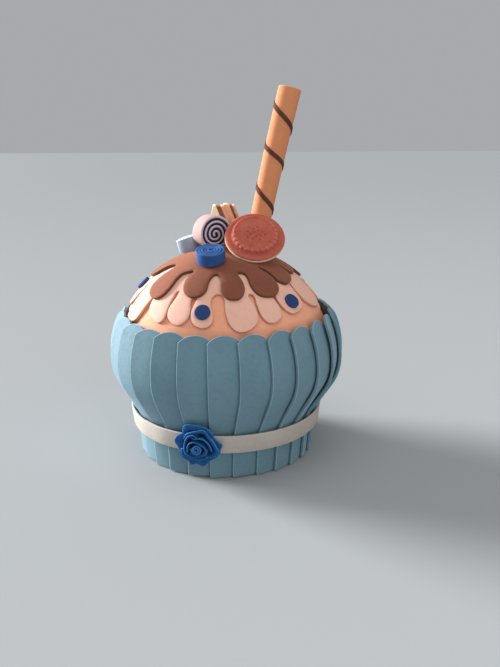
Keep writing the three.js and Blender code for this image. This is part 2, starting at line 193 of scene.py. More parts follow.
@dataclass(frozen=True)
class Seat:
    """A topping's place and direction: its own Z axis leans by a polar angle at an azimuth."""

    place: tuple[float, float, float]
    polar: float
    azimuth: float

    @classmethod
    def on_dome(cls, distance: float, foot: Sequence[float], lean: Sequence[float]) -> "Seat":
        """The seat at a distance from the dome's centre; foot and lean are (polar, azimuth)."""
        return cls(tuple(over_dome(distance, *foot)), *lean)

    def axes(self) -> Array:
        """The own axes: right is level, out is the lean, and up the face is square to both.

        Returns:
            (3, 3) unit vectors as rows: right, up the face, and outwards.
        """
        right = spokes(np.radians(self.azimuth))
        out = direction(self.polar, self.azimuth)
        return np.stack([right, np.cross(out, right), out])

    def put(self, points: Array) -> Array:
        """Points of the topping's own frame, in the muffin's frame."""
        return points @ self.axes() + np.array(self.place)


# ---------------------------------------------------------------- surfaces put together


@dataclass
class Skin:
    """A closed surface collected from grids, rims and caps, with a mark for its cut edges and its
    painted highlights.
    """

    points: list[Array] = field(default_factory=list)
    faces: list[Array] = field(default_factory=list)
    cut_and_highlight_marks: list[Array] = field(default_factory=list)
    count: int = 0

    def _keep(self, points: Array, faces: Array, cut_and_highlight: float | Array) -> None:
        """Adds points and the faces that join them.

        Args:
            points: (..., 3) in millimetres.
            faces: (F, corners) numbers of the points, counted from this call's first.
            cut_and_highlight: how far the faces take the edge colour, for a cut edge and on some
                pieces a painted highlight; one number or one for each.
        """
        self.points.append(points.reshape(-1, 3))
        self.faces.append(faces + self.count)
        self.cut_and_highlight_marks.append(np.broadcast_to(np.asarray(cut_and_highlight, float), (len(faces),)))
        self.count += points.size // 3

    def grid(self, points: Array, cut_and_highlight: float | Array = 0.0, wrap: bool = False) -> None:
        """Joins a grid of points with four-sided faces.

        Args:
            points: (rows, columns, 3).
            cut_and_highlight: the edge-colour mark for a cut edge, and on some pieces a painted
                highlight; one number or one for each column of faces.
            wrap: whether the last column joins the first.
        """
        rows, columns = points.shape[:2]
        across = columns if wrap else columns - 1
        row, j = np.meshgrid(np.arange(rows - 1) * columns, np.arange(across), indexing="ij")
        k = (j + 1) % columns
        faces = np.stack([row + j, row + k, row + columns + k, row + columns + j], axis=-1)
        marks = np.broadcast_to(np.asarray(cut_and_highlight, float), (rows - 1, across)).ravel()
        self._keep(points, faces.reshape(-1, 4), marks)

    def cap(self, loop: Array, cut_and_highlight: float = 1.0) -> None:
        """Closes a loop of points with one flat face."""
        self._keep(loop, np.arange(len(loop))[None, :], cut_and_highlight)

    def triangles(self, points: Array, faces: Array, cut_and_highlight: float = 0.0) -> None:
        """Adds triangles."""
        self._keep(points, faces, cut_and_highlight)

    def sheet(self, face: Array, out: Array, thickness: float, rim: float,
              marks: Sequence[float] = WALL_MARKS) -> None:
        """A bent sheet: its face, its back, and a wall between them with rounded rims.

        The back is the face moved inwards by the thickness. The wall follows the grid's edge; it
        leaves the face in an eighth of a circle, bulges by the rim radius, and comes back.

        Args:
            face: (rows, columns, 3) points of the outer face.
            out: (rows, columns, 3) unit vectors that point out of it.
            thickness: of the sheet.
            rim: radius of the rounded edges.
            marks: edge-colour marks of the wall's five strips, from the face to the back, for the
                cut edge and, on some pieces, a painted highlight.
        """
        self.grid(face)
        self.grid((face - out * thickness)[::-1])
        last_i, last_j = face.shape[0] - 1, face.shape[1] - 1
        i = np.r_[[0] * last_j, 0:last_i, [last_i] * last_j, last_i:0:-1]
        j = np.r_[0:last_j, [last_j] * last_i, last_j:0:-1, [0] * last_i]
        inside = face[np.clip(i, 1, last_i - 1), np.clip(j, 1, last_j - 1)]
        self.wall(face[i, j], out[i, j], face[i, j] - inside, thickness, rim, marks)

    def wall(self, edge: Array, out: Array, away: Array, thickness: float, rim: float,
             marks: Sequence[float] = WALL_MARKS) -> None:
        """The rounded wall round a sheet's edge.

        Args:
            edge: (N, 3) closed loop of the face's edge.
            out: (N, 3) unit vectors out of the face.
            away: (N, 3) vectors that lead away from the sheet along its face.
            thickness: of the sheet.
            rim: radius of the rounded edges.
            marks: edge-colour marks of the wall's five strips, from the face to the back, for the
                cut edge and, on some pieces, a painted highlight.
        """
        away = unit(away - out * np.sum(away * out, axis=-1, keepdims=True))
        bulge = rim * WALL_BULGE
        depth = np.concatenate([rim * WALL_DEPTH, thickness - rim * WALL_DEPTH[::-1]])
        rings = edge + away * bulge[:, None, None] - out * depth[:, None, None]
        self.grid(np.swapaxes(rings, 0, 1)[np.r_[: len(edge), 0]], cut_and_highlight=np.array(marks))

    def join(self, other: "Skin") -> None:
        """Adds another closed surface to this one.

        Args:
            other: the surface, in the same frame.
        """
        self.faces += [faces + self.count for faces in other.faces]
        self.points += other.points
        self.cut_and_highlight_marks += other.cut_and_highlight_marks
        self.count += other.count

    def object(self, name: str, finish: "FoamFinish", slot: str, node: str) -> None:
        """Makes the finished piece, dresses it and places it on the model's body.

        Args:
            name: of the piece.
            finish: its material.
            slot: the record's material slot; not used.
            node: the CAD node that it stands for.
        """
        mesh = bpy.data.meshes.new(name)
        points = np.concatenate(self.points) * MM
        corners = np.concatenate([faces.ravel() for faces in self.faces])
        sizes = np.concatenate([np.full(len(faces), faces.shape[1]) for faces in self.faces])
        mesh.vertices.add(len(points))
        mesh.vertices.foreach_set("co", points.ravel())
        mesh.loops.add(len(corners))
        mesh.loops.foreach_set("vertex_index", corners.astype(np.int32))
        mesh.polygons.add(len(sizes))
        mesh.polygons.foreach_set("loop_start", (np.cumsum(sizes) - sizes).astype(np.int32))
        mesh.update(calc_edges=True)
        # Per face: how far it takes the edge colour, for a cut edge and, on some pieces, a painted
        # highlight.
        marks = mesh.attributes.new("cut_and_highlight", "FLOAT", "FACE")
        marks.data.foreach_set("value", np.concatenate(self.cut_and_highlight_marks).astype(np.float32))
        work = bmesh.new()
        work.from_mesh(mesh)
        bmesh.ops.remove_doubles(work, verts=work.verts, dist=MERGE)
        bmesh.ops.dissolve_degenerate(work, edges=work.edges, dist=SLIVER)
        bmesh.ops.recalc_face_normals(work, faces=work.faces)
        work.to_mesh(mesh)
        work.free()
        mesh.polygons.foreach_set("use_smooth", np.ones(len(mesh.polygons), bool))
        mesh.materials.append(finish.material())
        piece = bpy.data.objects.new(name, mesh)
        bpy.context.scene.collection.objects.link(piece)
        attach(piece, BODY)
        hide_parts(node)
        log.info("%s: %d faces, stands for %s", name, len(mesh.polygons), node)


def swept(path: Array, side: Array, lift: Array, section: Array, cut_and_highlight: float | Array) -> Skin:
    """A section carried along a path: point = path + side * first + lift * second coordinate.

    Args:
        path: (P, 3) points.
        side: (P, 3) unit vectors for the section's first axis.
        lift: (P, 3) unit vectors for its second axis.
        section: (K, 2) closed section, or (P, K, 2) one for each point.
        cut_and_highlight: the edge-colour mark for a cut edge, and on some pieces a painted
            highlight; one number or one for each side of the section.

    Returns:
        A closed surface with flat ends.
    """
    section = np.broadcast_to(section, (len(path), *section.shape[-2:]))
    across, along = section[..., :1], section[..., 1:]
    rings = path[:, None] + side[:, None] * across + lift[:, None] * along
    skin = Skin()
    skin.grid(rings, cut_and_highlight, wrap=True)
    skin.cap(rings[0])
    skin.cap(rings[-1][::-1])
    return skin


def turned(profile: Array, segments: int, cut_and_highlight: float | Array = 0.0) -> Skin:
    """A profile turned round the Z axis: point = (radius, azimuth, height) for every azimuth.

    Args:
        profile: (P, 2) radius and height; both ends lie on the axis, or the profile is a loop.
        segments: steps round the axis.
        cut_and_highlight: the edge-colour mark for a cut edge, and on some pieces a painted
            highlight; one number or one for each span of the profile.

    Returns:
        A closed surface.
    """
    azimuth = np.linspace(0, 2 * np.pi, segments, endpoint=False)[:, None]
    rings = around(profile[None, :, 0], azimuth, profile[None, :, 1])
    skin = Skin()
    skin.grid(rings[np.r_[:segments, 0]], cut_and_highlight)
    return skin


def lattice_fill(outline: Array, pitch: float) -> tuple[Array, Array]:
    """Fills a flat closed outline with a hexagonal lattice and joins all points by triangles.

    A lattice point is inside where a line from it to the right crosses the outline an odd number
    of times, and it is kept if it isn't too near the outline's own points.

    Args:
        outline: (N, 2) closed outline.
        pitch: distance between lattice points.

    Returns:
        All points, the outline's first, and (F, 3) triangles inside the outline.
    """
    row_height, clearance, tiny = 0.866 * pitch, 0.55 * pitch, 1e-9
    low, high = outline.min(axis=0), outline.max(axis=0)
    x, y = np.meshgrid(np.arange(low[0], high[0], pitch), np.arange(low[1], high[1], row_height))
    x[1::2] += pitch / 2
    lattice = np.stack([x, y], axis=-1).reshape(-1, 1, 2)
    ahead = np.roll(outline, -1, axis=0)
    spans = (outline[:, 1] > lattice[..., 1]) != (ahead[:, 1] > lattice[..., 1])
    run, rise = (ahead - outline).T
    rise = np.where(np.abs(rise) < tiny, tiny, rise)
    crossing = outline[:, 0] + (lattice[..., 1] - outline[:, 1]) / rise * run
    inside = (spans & (lattice[..., 0] < crossing)).sum(axis=1) % 2 == 1
    clear = np.linalg.norm(lattice - outline, axis=-1).min(axis=1) > clearance
    points = np.concatenate([outline, lattice[inside & clear, 0]])
    ring = np.arange(len(outline))
    edges = np.stack([ring, np.roll(ring, -1)], axis=-1)
    inside_only = 1
    found = delaunay_2d_cdt(points.tolist(), edges.tolist(), [], inside_only, tiny)
    return points, np.array(found[2])


def cut_sheet(outline: Array, lay: Callable[[Array, float], Array], thickness: float, rim: float,
              pitch: float) -> Skin:
    """A sheet cut to an outline and laid on a surface.

    The face and the back are the filled outline laid at two depths, and the wall between them
    follows the outline. Out of the face is from the back to the face, and away from the sheet is
    the outline's own direction crossed with it.

    Args:
        outline: (N, 2) anticlockwise outline in the sheet's flat state, in millimetres.
        lay: gives the 3-D points of flat points at a depth below the face.
        thickness: of the sheet.
        rim: radius of the rounded edges.
        pitch: distance between the inner points.

    Returns:
        A closed surface.
    """
    flat, triangles = lattice_fill(outline, pitch)
    face, back = lay(flat, 0.0), lay(flat, thickness)
    skin = Skin()
    skin.triangles(face, triangles)
    skin.triangles(back, triangles[:, ::-1])
    edge = face[: len(outline)]
    through = edge - back[: len(outline)]
    out = unit(through)
    ahead = np.roll(edge, -1, axis=0) - np.roll(edge, 1, axis=0)
    depth = np.linalg.norm(through, axis=-1).mean()
    skin.wall(edge, out, np.cross(ahead, out), depth, rim)
    return skin


# ---------------------------------------------------------------- finishes


def linear(code: int) -> tuple[float, float, float, float]:
    """A screen colour as the linear colour that shaders use, by the sRGB curve.

    Args:
        code: the screen colour, as 0xRRGGBB.

    Returns:
        Red, green, blue and an alpha of 1.
    """
    channels = np.array([code >> 16 & 255, code >> 8 & 255, code & 255]) / 255.0
    curve = np.where(channels <= 0.04045, channels / 12.92, ((channels + 0.055) / 1.055) ** 2.4)
    return (*(float(v) for v in curve), 1.0)


class Grain(enum.Enum):
    """How coarse a foam's cells are: noise scales for its flecks and for its pores, per metre."""

    FINE = (420.0, 2600.0)
    OPEN = (260.0, 1500.0)
    CRUMB = (180.0, 950.0)


@dataclass(frozen=True)
class Speckle:
    """One noise of the foam, with its detail.

    Its values from low to high are spread smoothly over 0 to the weight, as a share of the shade,
    and its relief is how deep its bumps go, in metres.
    """

    detail: float
    low: float
    high: float
    weight: float = 0.0
    relief: float = 0.0


@dataclass(frozen=True)
class FoamFinish:
    """Matte craft foam: a tone that drifts, a fine cell pattern, and a different cut edge.

    The base colour is the face colour, drifting towards the shade in soft patches and in small
    flecks. Where the "cut_and_highlight" attribute is set it changes to the edge colour with coarser
    cells: on cut edges, and on some pieces as a painted highlight.
    """

    name: str
    face: int
    edge: int
    shade: int
    grain: Grain = Grain.FINE
    roughness: float = 0.82
    sheen: float = 0.08
    specular: float = 0.25
    drift: float = 0.35
    bump: float = 0.25
    sheen_tint: int | None = None
    sheen_roughness: float = 0.55
    patch_scale: float = 38.0
    patches: Speckle = Speckle(3.0, 0.38, 0.68)
    flecks: Speckle = Speckle(4.0, 0.42, 0.75, 0.28, 0.00025)
    pores: Speckle = Speckle(2.0, 0.35, 0.7, 0.22, 0.00012)
    gloss: Speckle = Speckle(0.0, 0.3, 0.8)
    gloss_range: tuple[float, float] = (-0.06, 0.08)
    fineness: float = 0.55

    def material(self) -> bpy.types.Material:
        """The finish as a node material, made once.

        Returns:
            The material. Its total share of the shade is patches + flecks + pores on the face, and
            flecks + pores in the edge colour, which marks cut edges and, on some pieces, painted
            highlights.
        """
        made = bpy.data.materials.get(self.name)
        if made:
            return made
        made = bpy.data.materials.new(self.name)
        made.use_nodes = True
        tree = made.node_tree
        shader = tree.nodes["Principled BSDF"]
        shader.inputs["Specular IOR Level"].default_value = self.specular
        shader.inputs["Sheen Weight"].default_value = self.sheen
        shader.inputs["Sheen Tint"].default_value = linear(self.sheen_tint or self.edge)
        shader.inputs["Sheen Roughness"].default_value = self.sheen_roughness
        where = tree.nodes.new("ShaderNodeTexCoord").outputs["Object"]
        fleck_scale, pore_scale = self.grain.value
        patches = self._noise(tree, where, self.patch_scale, self.patches.detail)
        flecks = self._noise(tree, where, fleck_scale, self.flecks.detail)
        pores = self._noise(tree, where, pore_scale, self.pores.detail)
        tone = self._curve(tree, patches, self.patches, 0.0, self.drift)
        fleck = self._curve(tree, flecks, self.flecks, 0.0, self.flecks.weight)
        pore = self._curve(tree, pores, self.pores, 0.0, self.pores.weight)
        total = self._sum(tree, self._sum(tree, tone, fleck), pore)
        body = self._mix(tree, total, linear(self.face), linear(self.shade))
        edge = self._mix(tree, self._sum(tree, fleck, pore), linear(self.edge), linear(self.shade))
        # The marked faces take the edge colour: cut edges, and painted highlights on some pieces.
        cut_and_highlight = self._node(tree, "Attribute", {}, attribute_name="cut_and_highlight").outputs["Fac"]
        tree.links.new(self._mix(tree, cut_and_highlight, body, edge), shader.inputs["Base Color"])
        least, most = (self.roughness + offset for offset in self.gloss_range)
        rough = self._curve(tree, flecks, self.gloss, least, most)
        tree.links.new(rough, shader.inputs["Roughness"])
        normal = self._relief(tree, None, flecks, self.flecks.relief)
        normal = self._relief(tree, normal, pores, self.pores.relief)
        tree.links.new(normal, shader.inputs["Normal"])
        return made

    @staticmethod
    def _node(tree: Tree, kind: str, inputs: dict, **settings: str | bool) -> bpy.types.Node:
        """Makes a node.

        Args:
            tree: of the material.
            kind: of node, without the usual beginning of its name.
            inputs: what each input is given: another node's output, or a plain value.
            settings: the node's own settings.

        Returns:
            The node.
        """
        node = tree.nodes.new("ShaderNode" + kind)
        for name, setting in settings.items():
            setattr(node, name, setting)
        for name, value in inputs.items():
            if isinstance(value, Socket):
                tree.links.new(value, node.inputs[name])
            else:
                node.inputs[name].default_value = value
        return node

    def _noise(self, tree: Tree, where: Socket, scale: float, detail: float) -> Socket:
        """A noise texture's value on object coordinates."""
        inputs = {"Scale": scale, "Detail": detail, "Roughness": self.fineness, "Vector": where}
        return self._node(tree, "TexNoise", inputs).outputs["Fac"]

    def _curve(self, tree: Tree, value: Socket, speckle: Speckle, least: float,
               most: float) -> Socket:
        """Brings a value from the speckle's range to another one, clamped, in a smooth S.

        Args:
            tree: of the material.
            value: to bring over.
            speckle: gives the first range.
            least: start of the other range.
            most: its end.

        Returns:
            The new value.
        """
        inputs = {"From Min": speckle.low, "From Max": speckle.high,
                  "To Min": least, "To Max": most, "Value": value}
        node = self._node(tree, "MapRange", inputs, interpolation_type="SMOOTHSTEP")
        return node.outputs["Result"]

    def _sum(self, tree: Tree, first: Socket, second: Socket) -> Socket:
        """Two values added, at most 1."""
        node = self._node(tree, "Math", {0: first, 1: second}, operation="ADD", use_clamp=True)
        return node.outputs["Value"]

    def _mix(self, tree: Tree, factor: Socket, first: Socket | tuple,
             second: Socket | tuple) -> Socket:
        """Two colours mixed by a factor."""
        inputs = {"Factor": factor, "A": first, "B": second}
        return self._node(tree, "Mix", inputs, data_type="RGBA").outputs["Result"]

    def _relief(self, tree: Tree, normal: Socket | None, value: Socket, depth: float) -> Socket:
        """A slight unevenness from a noise, on top of the one before it.

        Args:
            tree: of the material.
            normal: the normal of the unevenness before it, if there is one.
            value: of the noise.
            depth: of the unevenness, in metres.

        Returns:
            The bent normal.
        """
        inputs = {"Distance": depth, "Strength": self.bump, "Height": value}
        if normal:
            inputs["Normal"] = normal
        return self._node(tree, "Bump", inputs).outputs["Normal"]


PEACH = FoamFinish("peach_look", 0xECA787, 0xDE9573, 0xE19B79, specular=0.4)
# Painted highlight: the slats' edge colour is lighter than their face, partly the lighter cut edge
# of the foam and partly a highlight painted along the rims.
SLAT = FoamFinish("slat_look", 0x648795, 0x8FB3C3, 0x567785, sheen=0.5, specular=0.55,
                  sheen_tint=0xA8BECB)
RIBBON = FoamFinish("ribbon_look", 0xB9B2A9, 0xCFC8BF, 0xA9A299)
# Painted highlight: the rose's edge colour, much lighter than its face, lights the petals' rims and
# the bud's wound edges.
ROSE_BLUE = FoamFinish("rose_look", 0x14558F, 0x4A86BC, 0x0D4276)
CREAM = FoamFinish("cream_look", 0xE7B7A5, 0xD09C86, 0xDDA893)
CHOCOLATE = FoamFinish("chocolate_look", 0x7C4837, 0x5E3B2D, 0x6E3E2F, roughness=0.85, sheen=0.4,
                       sheen_tint=0xE8A27C)
NAVY = FoamFinish("navy_look", 0x2E4272, 0x3D5183, 0x243762, sheen=0.0, specular=0.12)
DARK_NAVY = FoamFinish("dark_navy_look", 0x252C55, 0x2A2F58, 0x1E2447, sheen=0.0, specular=0.12)
# Painted shade: the blue roll's walls, seen in the grooves between its turns and on its side, keep a
# face colour darker than the tops of the turns.
ROYAL = FoamFinish("royal_blue_look", 0x2F528C, 0x2F5A96, 0x24437A, grain=Grain.OPEN)
# Painted highlight: the sky roll's top takes the edge colour, much lighter than its side.
SKY = FoamFinish("sky_blue_look", 0x98A8BA, 0xC2D2DE, 0x8696A8)
WHITE = FoamFinish("white_look", 0xB69694, 0xD2C2C0, 0xBFA19E)
ROLL_TAN = FoamFinish("wafer_roll_look", 0xD1895F, 0xE0A47C, 0xC37B54)
STRIPE_BROWN = FoamFinish("stripe_look", 0x5A3A32, 0x452B26, 0x4A2F28, sheen=0.0, specular=0.12)
# Painted highlight: the lighter edge colour lights the tops of the biscuit's beads.
TERRACOTTA = FoamFinish("biscuit_look", 0xBD6553, 0xD5836E, 0xA34E3F, grain=Grain.CRUMB,
                        bump=0.5, drift=0.5)
BEIGE = FoamFinish("beige_look", 0xE0C2B2, 0xDDBCAB, 0xCFAC99)
WAFER_CREAM = FoamFinish("wafer_cream_look", 0xFAE8C4, 0xF8E8CA, 0xECD6AC)
WAFER_BROWN = FoamFinish("wafer_brown_look", 0x925A3A, 0x9C6848, 0x7C4C2E, grain=Grain.OPEN)
WAFER_PINK = FoamFinish("wafer_pink_look", 0xEDAF96, 0xF2BDA6, 0xDF9F85)
WAFER_TAN = FoamFinish("wafer_tan_look", 0xECB892, 0xF2C6A4, 0xDDA67E)
WAFER_PALE = FoamFinish("wafer_pale_look", 0xD9B29B, 0xE6C4AE, 0xCBA188)


# ---------------------------------------------------------------- the body and its case


@dataclass(frozen=True)
class BodyOutline:
    """The outline that the body has under the slats, and that the slats follow.

    From the foot it runs straight to the waist and straight out to the shoulder, then bends over
    to the rim on a cubic curve whose handles leave along the flare and along the dome.
    """

    foot: tuple[float, float] = (57.3, 0.0)
    waist: tuple[float, float] = (60.1, 32.4)
    shoulder: tuple[float, float] = (73.0, 57.3)
    rim_polar: float = 60.4
    shoulder_reach: float = 13.0
    rim_reach: float = 18.0
    waist_softness: float = 3.0
    step: float = 0.25

    def dense(self) -> Array:
        """The outline at even steps, its waist softened by a moving average.

        Returns:
            (N, 2) radius and height.
        """
        foot, waist, shoulder = (np.array(p) for p in (self.foot, self.waist, self.shoulder))
        rim = np.radians(self.rim_polar)
        end = DOME_RADIUS * np.array([np.sin(rim), np.cos(rim)]) + [0.0, DOME_CENTRE]
        leave = unit(shoulder - waist)
        handles = (shoulder, shoulder + leave * self.shoulder_reach,
                   end + self.rim_reach * np.array([np.cos(rim), -np.sin(rim)]), end)
        t = np.linspace(0, 1, 200)[:, None]
        weights = ((1 - t) ** 3, 3 * t * (1 - t) ** 2, 3 * t**2 * (1 - t), t**3)
        bend = sum(w * h for w, h in zip(weights, handles))
        chain = np.concatenate([foot[None], waist[None], bend])
        length = np.concatenate([[0], np.cumsum(np.linalg.norm(np.diff(chain, axis=0), axis=1))])
        points = read_line(chain, length, np.arange(0, length[-1], self.step))
        reach = int(self.waist_softness / self.step)
        kernel = np.hanning(2 * reach + 3)[1:-1]
        kernel /= kernel.sum()
        soft = np.stack([np.convolve(points[:, k], kernel, mode="same") for k in (0, 1)], axis=-1)
        soft[: reach + 1], soft[-reach - 1 :] = points[: reach + 1], points[-reach - 1 :]
        return soft

    def at(self, length: Array) -> tuple[Array, Array]:
        """The outline at a length from its foot.

        Args:
            length: along the outline.

        Returns:
            Points and outward directions, as (radius, height).
        """
        points = self.dense()
        steps = np.arange(len(points)) * self.step
        along = unit(read_line(unit(np.gradient(points, axis=0)), steps, length))
        outward = np.stack([along[..., 1], -along[..., 0]], axis=-1)
        return read_line(points, steps, length), outward

    def total(self) -> float:
        """The outline's length from foot to rim."""
        return (len(self.dense()) - 1) * self.step


@dataclass(frozen=True)
class Body:
    """The domed body: a flat base, the outline under the slats, and the ball above them.

    The side is drawn in by the inset, clear of the slats. The dome's unevenness starts at the
    first height of uneven_from and is whole at the second.
    """

    outline: BodyOutline = BodyOutline()
    segments: int = 180
    side_skip: int = 6
    dome_rows: int = 60
    inset: float = 1.2
    unevenness: float = 0.12
    swell: float = 45.0
    uneven_from: tuple[float, float] = (95.0, 110.0)

    def build(self) -> None:
        """Turns the outline round the axis; the dome swells and dips very slightly."""
        side = self.outline.dense()[:: self.side_skip] - [self.inset, 0.0]
        side[0, 1] = 0.0
        polar = np.radians(np.linspace(self.outline.rim_polar - 2, 0, self.dome_rows))
        dome = DOME_RADIUS * np.stack([np.sin(polar), np.cos(polar)], axis=-1) + [0.0, DOME_CENTRE]
        profile = np.concatenate([[[0.0, 0.0]], side[:1], side, dome])
        skin = turned(profile, self.segments)
        rings = skin.points[0]
        amount = smoothstep(*self.uneven_from, rings[:, 2]) * self.unevenness
        swelling = amount * ripple(rings, self.swell, 3)
        skin.points[0] = rings + unit(rings - DOME_CENTRE * UP) * swelling[:, None]
        skin.object("dome_foam", PEACH, "dome_foam", "dome")


@dataclass(frozen=True)
class SlatCase:
    """The case of slats: flat strips, each lying with its left part on the slat beside it.

    The columns are places across half a slat, as shares of it, and the end rows are places near
    its two ends, as shares of its length, as all the spans are. The slats round the loose azimuth
    stand off the body, within the loose spread in degrees, by the loose belly and rim.
    """

    outline: BodyOutline = BodyOutline()
    width: float = 22.0
    thickness: float = 2.0
    rim: float = 0.42
    tip_radius: float = 12.8
    floor_clearance: float = 0.8
    rim_clearance: float = 0.4
    front: tuple[float, ...] = (-53.1, -40.5, -27.6, -14.0, 0.0, 14.0, 28.8, 41.4, 54.7, 67.1, 79.4)
    back_count: int = 16
    columns: tuple[float, ...] = (0.1, 0.3, 0.5, 0.65, 0.78, 0.88, 0.95, 0.985, 1.0)
    rows: int = 68
    end_rows: tuple[float, ...] = (0.004, 0.012, 0.988, 0.996)
    sunk: float = 0.45
    stiffness: float = 0.6
    stiff_from: tuple[float, float] = (0.38, 0.6)
    loose_azimuth: float = 78.0
    loose_spread: float = 30.0
    loose_belly: float = 1.5
    loose_rim: float = 1.0
    gape: float = 0.2
    gape_from: float = 4.0
    gape_spread: float = 0.22
    gape_loose: float = 0.3
    gape_bend: float = 1.5
    gape_at_foot: float = 0.4
    glue: float = 0.1
    belly_span: tuple[float, float] = (0.32, 0.62)
    rim_span: tuple[float, float] = (0.72, 1.0)
    flare: float = 0.25
    flare_span: tuple[float, float] = (0.7, 1.0)
    wave: float = 0.07
    wave_size: float = 26.0
    wave_run: float = 40.0
    start_spread: float = 0.6
    start_tilt: float = 0.02
    tip_shift: float = 0.3
    end_spread: tuple[float, float] = (-0.6, 0.3)
    twist: float = 0.35
    twist_about: float = 0.4
    # Wall strips from the face to the back: the face-side rim takes the lighter edge colour, partly
    # cut foam and partly a painted highlight; the rest keep the face colour.
    edge_highlight_marks: tuple[float, ...] = (1.0, 0.35, 0.0, 0.0, 0.0)

    def azimuths(self) -> Array:
        """Azimuths of the front slats, then evenly spaced ones round the back.

        Returns:
            The azimuth of each slat's middle, in degrees.
        """
        step = (360 + self.front[0] - self.front[-1]) / (self.back_count + 1)
        back = self.front[-1] + step * np.arange(1, self.back_count + 1)
        return np.concatenate([self.front, back])

    def lift(self, across: Array, share: Array, reach: Array, pitch: float, azimuth: float,
             seed: int) -> Array:
        """Height of a slat's underside over the body.

        The slat slopes down evenly from its left edge to its right one, just steep enough to lie
        on its neighbour. At the belly it's flatter than the body is round, so its edges stand off
        by the square of the distance from its middle. The left edge gapes a little, and the
        right-hand slats of the case stand loose, off the belly and more so off the dome.

        Args:
            across: place across the slat, in millimetres.
            share: place along it, from 0 at the foot to 1 at the rim.
            reach: distance from the Z axis.
            pitch: distance to the left neighbour, in degrees.
            azimuth: of the slat's middle, in degrees.
            seed: picks its unevenness.

        Returns:
            The height at each place, in millimetres.
        """
        rng = np.random.default_rng(seed)
        half = self.width / 2
        step = math.radians(pitch) * reach
        stiff = self.stiffness * smoothstep(*self.stiff_from, share)
        rise = self.thickness + self.glue + stiff * step * (2 * half - step) / (2 * reach)
        height = rise * (half - across) / step + stiff * across**2 / (2 * reach)
        loose = bell(azimuth - self.loose_azimuth, self.loose_spread)
        gape = self.gape + self.gape_spread * rng.random() + self.gape_loose * loose
        leftward = np.clip((-across - self.gape_from) / (half - self.gape_from), 0, 1)
        upward = self.gape_at_foot + (1 - self.gape_at_foot) * share
        height = height + gape * leftward**self.gape_bend * upward
        belly, rim = smoothstep(*self.belly_span, share), smoothstep(*self.rim_span, share)
        height = height + loose * (self.loose_belly * belly + self.loose_rim * rim)
        flare = rng.uniform(0.0, self.flare) * smoothstep(*self.flare_span, share)
        places = np.stack([self.wave_run * share, across], axis=-1)
        return height + flare - self.sunk + self.wave * ripple(places, self.wave_size, seed)

    def slat(self, index: int, azimuth: float, pitch: float) -> None:
        """Builds one slat as a grid (along, across) with a rounded end.

        Its columns and rows lie closer together towards its edges. It ends on a circle of the
        tip's radius, starts and ends a little unevenly, and turns very slightly on its way up.

        Args:
            index: its number, from 1.
            azimuth: of its middle, in degrees.
            pitch: distance to the slat on its left, in degrees.
        """
        rng = np.random.default_rng(100 + index)
        right = (self.width / 2 - self.rim) * np.array(self.columns)
        across = np.r_[-right[::-1], right]
        start = self.floor_clearance + self.rim + rng.uniform(0, self.start_spread)
        start = start + self.start_tilt * across * rng.uniform(-1, 1)
        aside = across - rng.uniform(-self.tip_shift, self.tip_shift)
        sag = self.tip_radius - np.sqrt(self.tip_radius**2 - aside**2)
        total = self.outline.total()
        end = total - self.rim_clearance - sag + rng.uniform(*self.end_spread)
        rows = np.sort(np.r_[np.linspace(0, 1, self.rows), self.end_rows])[:, None]
        along = start + (end - start) * rows
        spread = np.broadcast_to(across, along.shape)
        place, outward = self.outline.at(along)
        reach, share = place[..., 0] + self.thickness, along / total
        height = self.thickness + self.lift(spread, share, reach, pitch, azimuth, 300 + index)
        turn = rng.uniform(-self.twist, self.twist) * (share - self.twist_about)
        angle = np.radians(azimuth) + (spread + turn) / reach
        lifted = place + outward * height[..., None]
        face = around(lifted[..., 0], angle, lifted[..., 1])
        out = unit(np.cross(np.gradient(face, axis=1), np.gradient(face, axis=0)))
        skin = Skin()
        skin.sheet(face, out, self.thickness, self.rim, self.edge_highlight_marks)
        skin.object(f"slat_foam_{index:02d}", SLAT, "slat_foam", f"slat_{index:02d}")

    def build(self) -> None:
        """Builds the slats one after another, round the body."""
        azimuths = self.azimuths()
        pitches = (azimuths - np.roll(azimuths, 1)) % 360
        for index, (azimuth, pitch) in enumerate(zip(azimuths, pitches), 1):
            self.slat(index, float(azimuth), float(pitch))


@dataclass(frozen=True)
class Ribbon:
    """The strip of foam that is wound round the foot of the case."""

    low: float = 20.8
    high: float = 33.2
    foot: float = 65.3
    top: float = 66.6
    thickness: float = 1.6
    rim: float = 0.4
    segments: int = 240
    wave: float = 0.18
    wave_size: float = 0.35
    drop: float = 0.25
    drop_size: float = 1.2
    edge_mark: float = 0.6

    def build(self) -> None:
        """Carries a rounded section round the case; it waves a little over the slats' edges."""
        azimuth = np.linspace(0, 2 * np.pi, self.segments, endpoint=False)
        middle = (self.low + self.high) / 2
        lean = (self.top - self.foot) / (self.high - self.low)
        section = rounded_rectangle(self.thickness, self.high - self.low, self.rim)
        circle = spokes(azimuth)[:, :2]
        wave = self.wave * ripple(circle, self.wave_size, 8)
        drop = self.drop * ripple(circle, self.drop_size, 9)
        radius = (self.foot + self.top + self.thickness) / 2 + section[None, :, 0]
        radius = radius + section[None, :, 1] * lean + wave[:, None]
        rings = around(radius, azimuth[:, None], middle + section[None, :, 1] + drop[:, None])
        skin = Skin()
        marks = np.full(len(section), self.edge_mark)
        outside, inside = 2, 8  # the two long sides, as numbered round the section
        marks[[outside, inside]] = 0.0
        skin.grid(rings[np.r_[: self.segments, 0]], marks, wrap=True)
        skin.object("ribbon_foam", RIBBON, "ribbon_foam", "band")


# ---------------------------------------------------------------- drips


